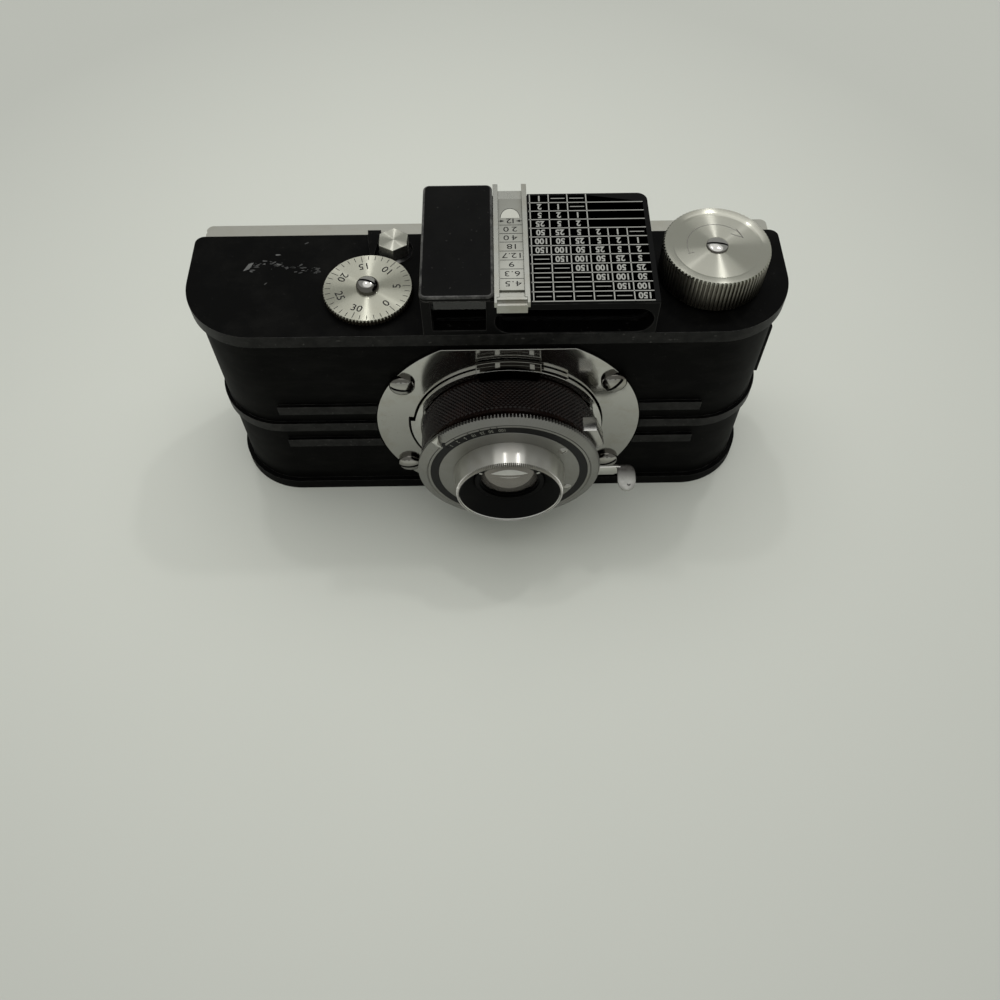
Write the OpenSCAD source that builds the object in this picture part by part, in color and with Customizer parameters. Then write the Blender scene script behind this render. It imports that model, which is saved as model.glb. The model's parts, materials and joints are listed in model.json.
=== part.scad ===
// Miniature camera for 35 mm film, with a moulded body, a top finder with an exposure
// calculator, a collapsing lens in a leaf shutter and a hinged metal back.
// X runs along the body, the lens looks along -Y and Z is up. The origin is the middle of
// the camera's length and depth, on the surface that it stands on.

/* [Body] */
// Length of the moulded body
body_w = 133; // [130:0.5:142]
// Height of the moulded body
body_h = 60.3; // [59:0.1:64]
// Depth of the moulded body, from its front face to the joint with the back
body_d = 30.4; // [30.2:0.1:33]
// Radius of the two front corners
corner_r = 16.4; // [15:0.1:18]
// Radius of the two rear corners
rear_r = 2; // [1.6:0.1:3]
// Height of the flange round the top and the bottom
flange_t = 3.3; // [2.8:0.1:3.8]
// How far the wall lies behind the flanges
wall_in = 1.2; // [0.9:0.1:1.5]
// Height of each raised rib
rib_h = 2.9; // [2:0.1:3.6]
// Distance from one rib to the next
rib_pitch = 6.65; // [5:0.05:7]
// How far a rib stands proud of the wall
rib_out = 0.85; // [0.4:0.05:0.9]
// Half the length that the two short ribs reach from the middle
rib_reach = 50; // [40:0.5:52]
// Thickness of the body's roof over the chambers
roof_t = 3.6; // [3.4:0.1:4.5]
// Thickness of the body's floor under the chambers
floor_t = 5.2; // [5:0.1:6]
// Depth of the step that the film runs in, behind the rear face
film_in = 2; // [1.8:0.05:2.4]

/* [Film path] */
// Width of the picture opening
gate_w = 36; // [24:1:37]
// Height of the picture opening
gate_h = 24; // [18:1:26]
// Width of the film
film_w = 35; // [34:0.5:36]
// Thickness of the gate frame
gate_t = 1; // [0.8:0.1:1.3]
// Height of the rails that the film runs on
rail_h = 0.2; // [0.1:0.05:0.4]
// Radius of the chamber that takes the film cartridge
cartridge_r = 12.9; // [12.6:0.05:13]
// Distance from the body's end to the cartridge's axis
cartridge_inset = 16.9; // [16.7:0.1:18]
// Radius of the chamber round the take-up spool
takeup_r = 12.6; // [11.6:0.1:12.7]
// Radius of the take-up spool's core
core_r = 5; // [4:0.1:7]
// Radius of the take-up spool's end discs
spool_r = 11.8; // [9:0.1:12]
// Thickness of a spool flange
spool_rim_t = 1.2; // [1:0.1:1.6]
// Radius of the sprocket where the film lies on it
sprocket_r = 6.05; // [5.5:0.05:6.3]
// Number of teeth round the sprocket
sprocket_teeth = 8; // [6:1:8]
// Distance from the picture opening's edge to the sprocket's axis
sprocket_gap = 8.9; // [8.4:0.1:9.4]
// Thickness of the pressure plate
pressure_t = 1; // [0.8:0.1:1.3]

/* [Winding knob] */
// Distance from the body's end to the winding axis
wind_inset = 17.2; // [16.9:0.1:18]
// Distance from the front face to the winding and cartridge axes
wind_back = 16.7; // [16.4:0.1:17.6]
// Radius of the winding knob
knob_r = 11.6; // [9:0.1:12.5]
// Height of the winding knob
knob_h = 8.2; // [6:0.1:10]
// Number of flutes round the winding knob
knob_flutes = 76; // [40:1:90]
// Radius of the winding shaft
shaft_r = 2.9; // [2.4:0.1:3.4]
// Radius of the rewind knob in the base
rewind_r = 9.6; // [8:0.1:10.2]
// Height of the rewind knob
rewind_h = 2.9; // [2.2:0.1:2.9]

/* [Frame counter and button] */
// Distance from the middle of the body to the counter dial's axis
dial_x = -26; // [-27:0.1:-25.6]
// Distance from the front face to the counter dial's axis
dial_back = 12.2; // [11.9:0.1:13]
// Radius of the counter dial
dial_r = 9.85; // [8.5:0.05:10.3]
// Thickness of the counter dial
dial_t = 1.6; // [1.2:0.1:2.2]
// Number of frames in one turn of the dial
dial_steps = 36; // [24:1:40]
// Distance from the middle of the body to the film release button's axis
button_x = -20.9; // [-21.2:0.1:-20.4]
// Distance from the front face to the film release button's axis
button_back = 25.3; // [25.2:0.1:26]
// Width of the hexagonal button across its flats
button_w = 6.3; // [5:0.1:6.6]
// Height of the button above the roof
button_h = 3.3; // [2.5:0.1:5]
// Travel of the button
button_travel = 1.2; // [0.6:0.1:1.3]

/* [Back] */
// Depth of the metal back
back_d = 3.5; // [3.2:0.1:5]
// How much shorter the back is than the body at each end
back_in = 2.1; // [2:0.1:2.6]
// Thickness of the metal of the back
back_t = 1; // [0.8:0.1:1.2]
// Radius of the back's rounded ends
back_r = 1.5; // [1.3:0.1:3]
// Thickness of the covering on the back
skin_t = 0.5; // [0.3:0.1:0.8]
// Radius of the hinge pin
hinge_pin_r = 0.7; // [0.6:0.05:0.8]

/* [Finder] */
// Place of the finder's end beyond the counter dial
finder_x0 = -13.7; // [-14.5:0.1:-13]
// Place of the line between the sighting part and the meter part
finder_mid = 1.3; // [0.8:0.1:1.6]
// Gap between the finder's end and the winding knob
finder_gap = 2.2; // [1.5:0.1:3.5]
// Height of the meter part above the roof, with its table
meter_h = 9.6; // [9:0.1:10.5]
// Height of the sighting part above the roof, with its cap
sight_h = 11.7; // [11:0.1:13]
// Depth of the finder from front to back
finder_d = 32.3; // [30.5:0.1:33.5]
// Radius of the finder's rear corners
finder_r = 2.2; // [1:0.1:3]
// Thickness of the cap on the sighting part
cap_t = 1.6; // [1.2:0.1:2]
// How far the cap stands out over the finder's walls
cap_lip = 0.3; // [0.1:0.05:0.5]
// How far the cap stands out at the rear
cap_tail = 0.7; // [0.3:0.1:0.9]
// Radius of the cap's corners
cap_r = 1.4; // [1:0.1:2]
// Wall of the finder tunnels
finder_wall = 1.6; // [1.2:0.1:2]
// Radius of the round ends of the meter's slot
slot_r = 3.5; // [2.8:0.05:3.6]
// Thickness of the exposure table
table_t = 0.5; // [0.3:0.05:0.8]
// Number of columns in the exposure table
table_cols = 6; // [4:1:8]
// Number of rows in the exposure table
table_rows = 12; // [6:1:14]

/* [Calculator slide] */
// Width of the folded channel
channel_w = 7.4; // [6.5:0.1:8]
// Height of the channel's rails
channel_h = 1.5; // [1.4:0.1:2]
// Thickness of the channel's metal
channel_t = 0.6; // [0.4:0.05:0.7]
// Length of the moving strip
strip_l = 27; // [20:0.5:29]
// Thickness of the moving strip
strip_t = 0.45; // [0.3:0.05:0.6]
// Travel of the strip to the rear
strip_travel = 8; // [4:0.5:12]

/* [Lens mount] */
// Distance from the middle of the body to the lens axis
lens_x = 4.4; // [3.8:0.1:5]
// Height of the lens axis
lens_z = 27; // [26.6:0.1:27.8]
// Radius of the face plate
plate_r = 31.6; // [31.2:0.1:32.2]
// Thickness of the face plate
plate_t = 0.8; // [0.5:0.1:1]
// Distance from the lens axis up to the plate's top edge
plate_up = 27.9; // [27:0.1:28.6]
// Distance from the lens axis down to the plate's bottom edge
plate_down = 23; // [22.4:0.1:23.3]
// Gap between the collar and the hole in the face plate
hole_gap = 0.3; // [0.2:0.05:0.8]
// Radius of the circle that the four plate screws lie near
plate_screw_ring = 29.3; // [28.4:0.1:29.6]
// Radius of a plate screw's head
plate_screw_r = 2.8; // [2:0.1:2.9]
// Radius of the hole that the lens sleeve runs through
mount_r = 21.1; // [21:0.05:21.2]
// Wall of the bayonet collar
collar_wall = 1.4; // [1.2:0.1:1.6]
// How far the lens can be pushed in
lens_travel = 5; // [3:0.5:5]

/* [Lens and shutter] */
// How far the lens reaches in front of the body's front face
lens_reach = 19.6; // [18.8:0.1:21]
// Radius of the knurled focusing ring
focus_r = 20.8; // [20.6:0.05:20.85]
// Length of the knurled focusing ring
focus_l = 10.8; // [10.6:0.1:11]
// Radius of the speed ring
shutter_r = 21.4; // [20.9:0.1:22]
// Outer radius of the black scale band
scale_r = 18.45; // [18.2:0.05:18.6]
// Radius of the silver front plate inside the scale band
front_plate_r = 16.5; // [16.2:0.05:16.8]
// Radius of the lens barrel at its root
barrel_r = 13; // [12.6:0.1:13.4]
// Radius of the lens barrel at its rim
rim_r = 12.45; // [11.8:0.05:12.5]
// Radius of the front glass
glass_r = 7.4; // [7:0.1:7.5]
// Radius of the rear glass
rear_glass_r = 6.6; // [6:0.1:6.9]
// How deep the front glass sits behind the bottom of the mouth
glass_set = 1; // [0.8:0.1:1.2]
// Radius of the opening through the shutter
aperture_r = 5.8; // [4.5:0.1:6]
// Thickness of a shutter blade
blade_t = 0.2; // [0.15:0.05:0.25]
// Number of blades in the iris
iris_blades_n = 5; // [3:1:7]

/* [Tripod socket] */
// Radius of the tapped hole for a quarter-inch tripod screw
tripod_r = 2.6; // [2.5:0.05:3.2]
// Length of the tapped hole
tripod_l = 6.5; // [5:0.1:7]
// Radius of the socket's bush
bush_r = 5.2; // [4.5:0.1:6]
// Distance from the front face to the socket's axis
bush_back = 22; // [20:0.5:23]

/* [Clearances] */
// Gap between parts that slide or swing past each other
run_gap = 0.3; // [0.2:0.05:0.35]
// Radial gap of a shaft in its bearing
fit_gap = 0.06; // [0.04:0.01:0.1]
// Radial room between a spool flange and the core it is pushed onto
spool_fit = 0.03; // [0.02:0.01:0.06]

/* [Hidden] */
$fn = 96;

// a cut's overrun, so that no face of a cut lies on a face of the part
over = 1;

// depth: places are counted from the front face of the flanges, and depth_total centres them
back_gap = 0.1;
skin_in = 0.15;
depth_total = lens_reach + body_d + back_gap + back_d + skin_t - skin_in;
front_y = lens_reach - depth_total / 2;
rear_y = front_y + body_d;
half_w = body_w / 2;
side_x = half_w - wall_in;

// heights inside the body
chamber_z0 = floor_t;
chamber_z1 = body_h - roof_t;
gear_z0 = chamber_z1 - 6.7;
gear_z1 = chamber_z1;

// axes of the shafts
cartridge_x = -(half_w - cartridge_inset);
wind_x = half_w - wind_inset;
sprocket_x = lens_x - gate_w / 2 - sprocket_gap;
axis_y = front_y + wind_back;
film_y = rear_y - film_in;
sprocket_y = film_y - sprocket_r;
dial_y = front_y + dial_back;
button_y = front_y + button_back;
sprocket_pocket_r = sprocket_r + 1.55;

// gear between the sprocket and the counter
counter_reach = norm([dial_x - sprocket_x, dial_y - sprocket_y]);
driver_r = 3.4;
wheel_r = counter_reach - driver_r - run_gap;
wheel_z = gear_z0 + 2;
wheel_t = 1.2;

// lens mount: the bore behind the collar, where the sleeve's flange runs
wall_y = front_y + wall_in;
bore_r = mount_r + 0.5;
flange_r = bore_r - 0.2;
collar_r = mount_r + collar_wall;
plate_hole_r = collar_r + hole_gap;
collar_seat = 1.5;
sleeve_flange_t = 2.5;
bore_end = wall_in + collar_seat + sleeve_flange_t + lens_travel + 2 * run_gap;
lug_a0 = 175;
lug_a1 = 207;
lug_r = collar_r + 1;
tab_r = collar_r + 2.4;
tab_d = 2.9;

// lens stack, in distances in front of the flanges' front face
focus_d0 = 0.1;
focus_d1 = focus_d0 + focus_l;
case_floor = 0.6;
case_wall = 1.6;
rim_wall = 0.6;
case_r = scale_r + rim_wall;
case_d0 = focus_d1 - case_floor;
lever_d = focus_d1 + 0.15;
lever_t = 0.6;
lever_hub = [14.4, -2.5];
blade_d = lever_d + lever_t + 0.1;
blade_pin = 12.4;
iris_d = blade_d + 2 * blade_t + 0.15;
ring_d0 = focus_d1 + 0.9;
face_d = ring_d0 + 1.8;
band_t = 0.4;
tube_r = 8.6;
boss_r = tube_r + 2.96;
sleeve_r = focus_r - 1.4;
sleeve_wall = 1.4;
recess_d = lens_reach - 4.2;
plate_small_a = [37, 336, 221];
plate_small_ring = front_plate_r - 1.25;

// hinge and latch of the back
hinge_r = 1.4;
hinge_x = -(half_w - 1.5);
hinge_y = rear_y + hinge_r + 0.15;
back_half = half_w - back_in;
back_y0 = rear_y + back_gap;
back_y1 = back_y0 + back_d;
back_z0 = 0.4;
back_z1 = body_h - 0.2;
back_rim = 4;
knuckle_z = [[10, 15.8], [44.4, 50.2]];
latch_z0 = lens_z + rib_h / 2 + 1.2;
latch_h = 16;
latch_t = 0.8;
latch_pin_r = 0.6;
latch_x = side_x - 0.9;
latch_back = 23.2;
latch_y = front_y + latch_back;

// finder
roof_z = body_h;
finder_x1 = wind_x - knob_r - finder_gap;
meter_top = roof_z + meter_h - table_t;
sight_top = roof_z + sight_h - cap_t;
window_x0 = finder_x0 + 2.1;
window_x1 = finder_mid - 1.6;
window_z0 = roof_z + 1.4;
slot_x0 = finder_mid + 0.2;
slot_x1 = finder_x1 - 0.8;
slot_z = roof_z + slot_r + 0.35;
channel_x = finder_mid + 0.1 + channel_w / 2;
table_x0 = channel_x + channel_w / 2 + 0.15;
strip_w = channel_w - 2 * channel_t - 0.4;

black = [0.07, 0.07, 0.075];
satin = [0.78, 0.77, 0.72];
bright = [0.85, 0.85, 0.85];
brass = [0.78, 0.64, 0.32];
smoke = [0.55, 0.65, 0.7, 0.6];

// places children on the lens axis: their Z points to the front, their Y up
module on_lens(d = 0) {
    translate([lens_x, front_y - d, lens_z]) rotate([90, 0, 0]) children();
}

// turned ring between two radii
module ring(r_out, r_in, h) {
    difference() {
        cylinder(r = r_out, h = h);
        translate([0, 0, -over]) cylinder(r = r_in, h = h + 2 * over);
    }
}

// ring sector between two radii and two angles
module sector(r_in, r_out, a0, a1, h) {
    rotate([0, 0, a0]) rotate_extrude(angle = a1 - a0)
        translate([r_in, 0]) square([r_out - r_in, h]);
}

// flat outline with round corners, from x0, y0 to x1, y1
module round_rect(x0, y0, x1, y1, r) {
    translate([x0 + r, y0]) square([x1 - x0 - 2 * r, y1 - y0]);
    translate([x0, y0 + r]) square([x1 - x0, y1 - y0 - 2 * r]);
    for (x = [x0 + r, x1 - r], y = [y0 + r, y1 - r]) translate([x, y]) circle(r);
}

// outline of a round part with straight flutes
function flute(i, n, r, cut) = [for (k = [0, 1, 2, 3])
    let (a = 360 / n * (i + [0, 0.45, 0.6, 0.85][k]), q = k < 2 ? r : r - cut)
    [q * cos(a), q * sin(a)]];
module fluted(r, n, cut, h) {
    linear_extrude(h) polygon([for (i = [0 : n - 1]) each flute(i, n, r, cut)]);
}

// slotted screw with a domed head, its seat at z = 0 and its shank below
module screw(head_r, head_h, shank_r, shank_l, turn = 0) {
    ball_r = (head_r * head_r + head_h * head_h) / (2 * head_h);
    difference() {
        intersection() {
            cylinder(r = head_r, h = head_h);
            translate([0, 0, head_h - ball_r]) sphere(ball_r);
        }
        rotate([0, 0, turn]) translate([-head_r - over, -head_r * 0.11, head_h * 0.45])
            cube([2 * head_r + 2 * over, head_r * 0.22, head_h]);
    }
    translate([0, 0, -shank_l]) cylinder(r = shank_r, h = shank_l + head_h * 0.2);
}

// plan of the body, drawn in by g at the front and the ends
module plan(g = 0) {
    rg = rear_r - g;
    difference() {
        for (s = [-1, 1]) translate([s * (half_w - corner_r), front_y + corner_r]) circle(corner_r - g);
        translate([-half_w, front_y + corner_r]) square([body_w, corner_r]);
    }
    translate([-(half_w - corner_r), front_y + g]) square([2 * (half_w - corner_r), corner_r]);
    translate([-(half_w - g), front_y + corner_r]) square([2 * (half_w - g), body_d - corner_r - rear_r]);
    translate([-(half_w - rear_r), rear_y - rear_r - over])
        square([2 * (half_w - rear_r), rear_r + over]);
    for (s = [-1, 1]) translate([s * (half_w - rear_r), rear_y - rear_r]) intersection() {
        circle(rg);
        translate([-rear_r, 0]) square([2 * rear_r, rear_r]);
    }
}

// places of the four screws of the face plate, on the lens axis
plate_screw_a = [34.8, 145.8, 211, 329.2];

// outer form of the body, without its chambers
module body_form() {
    linear_extrude(flange_t) plan();
    linear_extrude(body_h) plan(wall_in);
    translate([0, 0, body_h - flange_t]) linear_extrude(flange_t) plan();
    difference() {
        union() {
            translate([0, 0, lens_z - rib_h / 2]) linear_extrude(rib_h) plan(wall_in - rib_out);
            for (s = [-1, 1]) intersection() {
                translate([0, 0, lens_z + s * rib_pitch - rib_h / 2])
                    linear_extrude(rib_h) plan(wall_in - rib_out);
                translate([-rib_reach, front_y - over, 0]) cube([2 * rib_reach, 6, body_h]);
            }
        }
        on_lens(-wall_in) cylinder(r = plate_r + run_gap, h = 3);
    }
    // index beside the counter dial
    translate([0, 0, body_h - over]) linear_extrude(1.3 + over) polygon([
        [dial_x - 1.1, rear_y], [dial_x + 1.9, rear_y], [dial_x + 1.6, rear_y - 2.6],
        [dial_x + 0.7, dial_y + dial_r + 0.5], [dial_x - 0.1, dial_y + dial_r + 0.5],
        [dial_x - 0.9, rear_y - 3]]);
    // hinge lugs
    for (z = knuckle_z) translate([0, 0, z[0]]) {
        translate([hinge_x, hinge_y, 0]) cylinder(r = hinge_r, h = z[1] - z[0]);
        translate([hinge_x - hinge_r, rear_y - over, 0])
            cube([2 * hinge_r, hinge_y - rear_y + over, z[1] - z[0]]);
    }
}

module chamber(x, r) {
    translate([x, axis_y, chamber_z0]) cylinder(r = r, h = chamber_z1 - chamber_z0);
    translate([x - r, axis_y, chamber_z0])
        cube([2 * r, rear_y - axis_y + over, chamber_z1 - chamber_z0]);
}

module body_shell() {
    tunnel_w = gate_w + 3;
    tunnel_h = gate_h + 3;
    gate_back = film_in + rail_h + gate_t;
    color(black) difference() {
        body_form();
        chamber(cartridge_x, cartridge_r);
        chamber(wind_x, takeup_r);
        // sprocket pocket
        translate([sprocket_x, sprocket_y, 6.5]) cylinder(r = sprocket_pocket_r, h = gear_z0 - 6);
        translate([sprocket_x - sprocket_pocket_r, sprocket_y, 6.5])
            cube([2 * sprocket_pocket_r, rear_y - sprocket_y + over, gear_z0 - 6]);
        // gear pocket under the roof
        translate([dial_x - wheel_r - 0.6, dial_y - wheel_r - 0.6, gear_z0])
            cube([2 * wheel_r + 4.2, rear_y - dial_y + wheel_r + 0.6 + over, gear_z1 - gear_z0]);
        // film path
        translate([cartridge_x, film_y - rail_h - gate_t, lens_z - film_w / 2 - 0.3])
            cube([wind_x - cartridge_x, gate_back + over, film_w + 0.6]);
        // light path: lens bore, seat of the collar, and the tunnel to the picture opening
        on_lens(-bore_end) cylinder(r = bore_r, h = bore_end - wall_in - collar_seat + 0.01);
        on_lens(-wall_in - collar_seat) cylinder(r = collar_r + 0.1, h = collar_seat + wall_in + over);
        translate([lens_x - tunnel_w / 2, front_y + bore_end - over, lens_z - tunnel_h / 2])
            cube([tunnel_w, body_d - bore_end - gate_back + 2 * over, tunnel_h]);
        // notch for the collar's lug
        on_lens(-wall_in - 0.7) sector(collar_r - 1, lug_r + 0.4, lug_a0 - 3, lug_a1 + 3, 5);
        // holes for the face plate's screws
        for (a = plate_screw_a) on_lens(-wall_in - 6)
            rotate([0, 0, a]) translate([plate_screw_ring, 0, 0]) cylinder(r = 1.1, h = 10);
        // roof: winding shaft, counter shaft, button and the sprocket's upper bearing
        translate([wind_x, axis_y, chamber_z1 - over])
            cylinder(r = shaft_r + fit_gap, h = roof_t + 2 * over);
        translate([dial_x, dial_y, gear_z1 - over]) cylinder(r = 1.9 + fit_gap, h = roof_t + 2 * over);
        translate([button_x, button_y, gear_z1 - over]) cylinder(r = 1.6 + 0.1, h = roof_t + 2 * over);
        translate([button_x, button_y, body_h - 1.6])
            cylinder(r = button_w / 2 / cos(30) + 0.5, h = 1.6 + over);
        translate([sprocket_x, sprocket_y, gear_z1 - over]) cylinder(r = 1.5 + fit_gap, h = over + 1.8);
        // floor: spool pivot, sprocket's lower bearing, rewind recess and its shaft
        translate([wind_x, axis_y, 2.2]) cylinder(r = 2 + fit_gap, h = floor_t);
        translate([sprocket_x, sprocket_y, 3.4]) cylinder(r = 1.5 + fit_gap, h = 6.5 - 3.4 + over);
        translate([cartridge_x, axis_y, -over]) cylinder(r = rewind_r + 1.4, h = rewind_h + 0.7 + over);
        translate([cartridge_x, axis_y, 0]) cylinder(r = 2.4 + fit_gap, h = floor_t + over);
        // tripod bush
        translate([lens_x, front_y + bush_back, -over]) cylinder(r = bush_r + 0.02, h = tripod_l + 1.5 + over);
        // hinge pin
        for (z = knuckle_z) translate([hinge_x, hinge_y, z[0] - over])
            cylinder(r = hinge_pin_r + fit_gap, h = z[1] - z[0] + 2 * over);
        // latch: the pocket it rocks into, and its pin
        translate([side_x - 1.6, latch_y - 9.6, latch_z0 - 0.3]) cube([5, 12.4, latch_h + 0.6]);
        translate([latch_x - 1.7, latch_y - 1.7, latch_z0 + 3.7]) cube([5, 3.4, latch_h - 7.4]);
        translate([latch_x, latch_y, latch_z0 - 2.6])
            cylinder(r = latch_pin_r + fit_gap, h = latch_h + 5.2);
    }
}

// brass bush with the tapped hole, flush with the base
module tripod_bush() {
    color(brass) translate([lens_x, front_y + bush_back, 0]) difference() {
        cylinder(r = bush_r, h = tripod_l + 1.5);
        translate([0, 0, -over]) cylinder(r = tripod_r, h = tripod_l + over);
    }
}

// blackened frame round the picture opening, with two rails
module film_gate() {
    frame_w = gate_w + 5;
    frame_h = film_w;
    y0 = film_y - rail_h - gate_t;
    color(black) difference() {
        union() {
            translate([lens_x - frame_w / 2, y0, lens_z - frame_h / 2]) cube([frame_w, gate_t, frame_h]);
            for (s = [-1, 1]) translate([lens_x - frame_w / 2, y0, lens_z + s * (gate_h / 2 + 1.6) - 0.8])
                cube([frame_w, gate_t + rail_h, 1.6]);
        }
        translate([lens_x - gate_w / 2, y0 - over, lens_z - gate_h / 2])
            cube([gate_w, gate_t + rail_h + 2 * over, gate_h]);
    }
}

// bright plate on the front wall, with a flat at the top and at the bottom
module face_plate() {
    color(bright) on_lens(-wall_in) difference() {
        intersection() {
            cylinder(r = plate_r, h = plate_t);
            translate([-plate_r, -plate_down, -over])
                cube([2 * plate_r, plate_up + plate_down, plate_t + 2 * over]);
        }
        translate([0, 0, -over]) cylinder(r = plate_hole_r, h = plate_t + 2 * over);
        translate([0, 0, -over])
            sector(plate_hole_r - 1, lug_r + 0.5, lug_a0 - 4, lug_a1 + 4, plate_t + 2 * over);
        for (a = plate_screw_a) rotate([0, 0, a]) translate([plate_screw_ring, 0, -over])
            cylinder(r = 1.2, h = plate_t + 2 * over);
    }
}

module face_plate_screws() {
    turns = [25, 150, 80, 20];
    color(bright) for (i = [0 : 3]) on_lens(plate_t - wall_in)
        rotate([0, 0, plate_screw_a[i]]) translate([plate_screw_ring, 0, 0])
            rotate([0, 0, -plate_screw_a[i]]) screw(plate_screw_r, 1.3, 0.95, 6, turns[i]);
}

// collar that guides the lens sleeve, with a lug in the plate's notch, a raised tab at the top
// and a low flange beside it that lies over the plate
module bayonet_collar() {
    h = wall_in + collar_seat + 0.8;
    color(bright) on_lens(-wall_in - collar_seat) {
        ring(collar_r, mount_r, h);
        translate([0, 0, collar_seat - 0.4]) sector(collar_r - 0.2, lug_r, lug_a0, lug_a1, 1.2);
        translate([0, 0, h - 0.9]) {
            sector(collar_r - 0.9, tab_r, 73, 107, tab_d + 0.1);
            sector(collar_r - 0.9, collar_r + 1, 55, 74, 0.8);
        }
    }
}

// finder: the plan of the whole housing
module finder_plan() {
    difference() {
        round_rect(finder_x0, front_y, finder_x1, front_y + finder_d, finder_r);
        translate([finder_x0 - over, front_y - over]) square([finder_r + over, finder_r + over]);
        translate([finder_x1 - finder_r, front_y - over]) square([finder_r + over, finder_r + over]);
    }
    for (x = [finder_x0, finder_x1 - finder_r]) translate([x, front_y])
        square([finder_r, finder_r]);
}

module finder_housing() {
    far = front_y + finder_d;
    color(black) difference() {
        union() {
            translate([0, 0, roof_z]) linear_extrude(meter_top - roof_z) finder_plan();
            translate([0, 0, roof_z]) linear_extrude(sight_top - roof_z) intersection() {
                finder_plan();
                translate([finder_x0 - over, front_y - over])
                    square([finder_mid - finder_x0 + over, finder_d + 2 * over]);
            }
        }
        // sighting tunnel, open at the top under the cap
        translate([window_x0, front_y - over, window_z0])
            cube([window_x1 - window_x0, finder_d - 4 + over, sight_top - window_z0 + over]);
        translate([(window_x0 + window_x1) / 2, far - 6, (window_z0 + sight_top) / 2])
            rotate([-90, 0, 0]) cylinder(r = 3, h = 8);
        // seat of the front glass
        translate([window_x0 - 0.5, front_y + 3, window_z0 - 0.5])
            cube([window_x1 - window_x0 + 1, 1.5, sight_top - window_z0 + over]);
        // meter slot with round ends, and the meter tunnel behind it
        for (x = [slot_x0 + slot_r, slot_x1 - slot_r]) translate([x, front_y - over, slot_z])
            rotate([-90, 0, 0]) cylinder(r = slot_r, h = 5 + over);
        translate([slot_x0 + slot_r, front_y - over, slot_z - slot_r])
            cube([slot_x1 - slot_x0 - 2 * slot_r, 5 + over, 2 * slot_r]);
        translate([slot_x0 + 4, front_y + 4, slot_z - 2.6])
            cube([slot_x1 - slot_x0 - 8, finder_d - 8, 5.2]);
        translate([(slot_x0 + slot_x1) / 2, far - 6, slot_z]) rotate([-90, 0, 0])
            cylinder(r = 2.4, h = 8);
        // seat of the step wedge
        translate([slot_x0 + 4.4, far - 8, slot_z - 3]) cube([slot_x1 - slot_x0 - 8.8, 0.8, 6]);
    }
}

module finder_cap() {
    color(black) translate([0, 0, sight_top]) linear_extrude(cap_t)
        round_rect(finder_x0 - cap_lip / 2, front_y - cap_lip, finder_mid,
            front_y + finder_d + cap_tail, cap_r);
}

module finder_front_glass() {
    color(smoke) translate([window_x0 - 0.45, front_y + 3.05, window_z0 - 0.45])
        cube([window_x1 - window_x0 + 0.9, 1.4, sight_top - window_z0 + 0.4]);
}

module finder_eye_lens() {
    color(smoke) translate([(window_x0 + window_x1) / 2, front_y + finder_d - 2.5,
        (window_z0 + sight_top) / 2]) rotate([-90, 0, 0]) cylinder(r = 2.98, h = 1.8);
}

module meter_window() {
    r = slot_r - 0.04;
    color(smoke) {
        for (x = [slot_x0 + slot_r, slot_x1 - slot_r]) translate([x, front_y + 3.4, slot_z])
            rotate([-90, 0, 0]) cylinder(r = r, h = 1.2);
        translate([slot_x0 + slot_r, front_y + 3.4, slot_z - r])
            cube([slot_x1 - slot_x0 - 2 * slot_r, 1.2, 2 * r]);
    }
}

// strip with steps that let less and less light through
module meter_step_wedge() {
    steps = 8;
    x0 = slot_x0 + 4.5;
    w = (slot_x1 - slot_x0 - 9) / steps;
    color(black) for (i = [0 : steps - 1])
        translate([x0 + i * w, front_y + finder_d - 7.95, slot_z - 2.95])
            cube([w + 0.01, 0.25 + 0.05 * i, 5.9]);
}

module meter_eye_lens() {
    color(smoke) translate([(slot_x0 + slot_x1) / 2, front_y + finder_d - 2.5, slot_z])
        rotate([-90, 0, 0]) cylinder(r = 2.38, h = 1.8);
}

// printed table: its grid is cut as fine lines
module exposure_table() {
    x1 = finder_x1 - 0.1;
    y0 = front_y + 0.1;
    y1 = front_y + finder_d - 0.2;
    x_line = table_x0 + 0.55;
    y_line = y0 + 0.1;
    pitch_x = (x1 - 1.1 - x_line) / table_cols;
    pitch_y = (finder_d - 0.7) / table_rows;
    line = 0.22;
    short_cols = floor(table_cols / 2);
    short_rows = floor(table_rows * 2 / 3);
    color(black) difference() {
        translate([0, 0, meter_top]) linear_extrude(table_t) {
            translate([table_x0, y0]) square([x1 - finder_r - table_x0, y1 - y0]);
            translate([x1 - finder_r - over, y0]) square([finder_r + over, y1 - y0 - finder_r]);
            translate([x1 - finder_r, y1 - finder_r]) circle(finder_r);
        }
        translate([x_line, y_line, meter_top + table_t - 0.1]) {
            for (i = [0 : table_cols - 1]) translate([i * pitch_x - line / 2, 0, 0])
                cube([line, pitch_y * (i > short_cols ? short_rows : table_rows) - line, 1]);
            for (i = [0 : table_rows - 1]) translate([-0.4, i * pitch_y, 0])
                cube([pitch_x * table_cols + 0.4, line, 1]);
        }
    }
}

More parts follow.
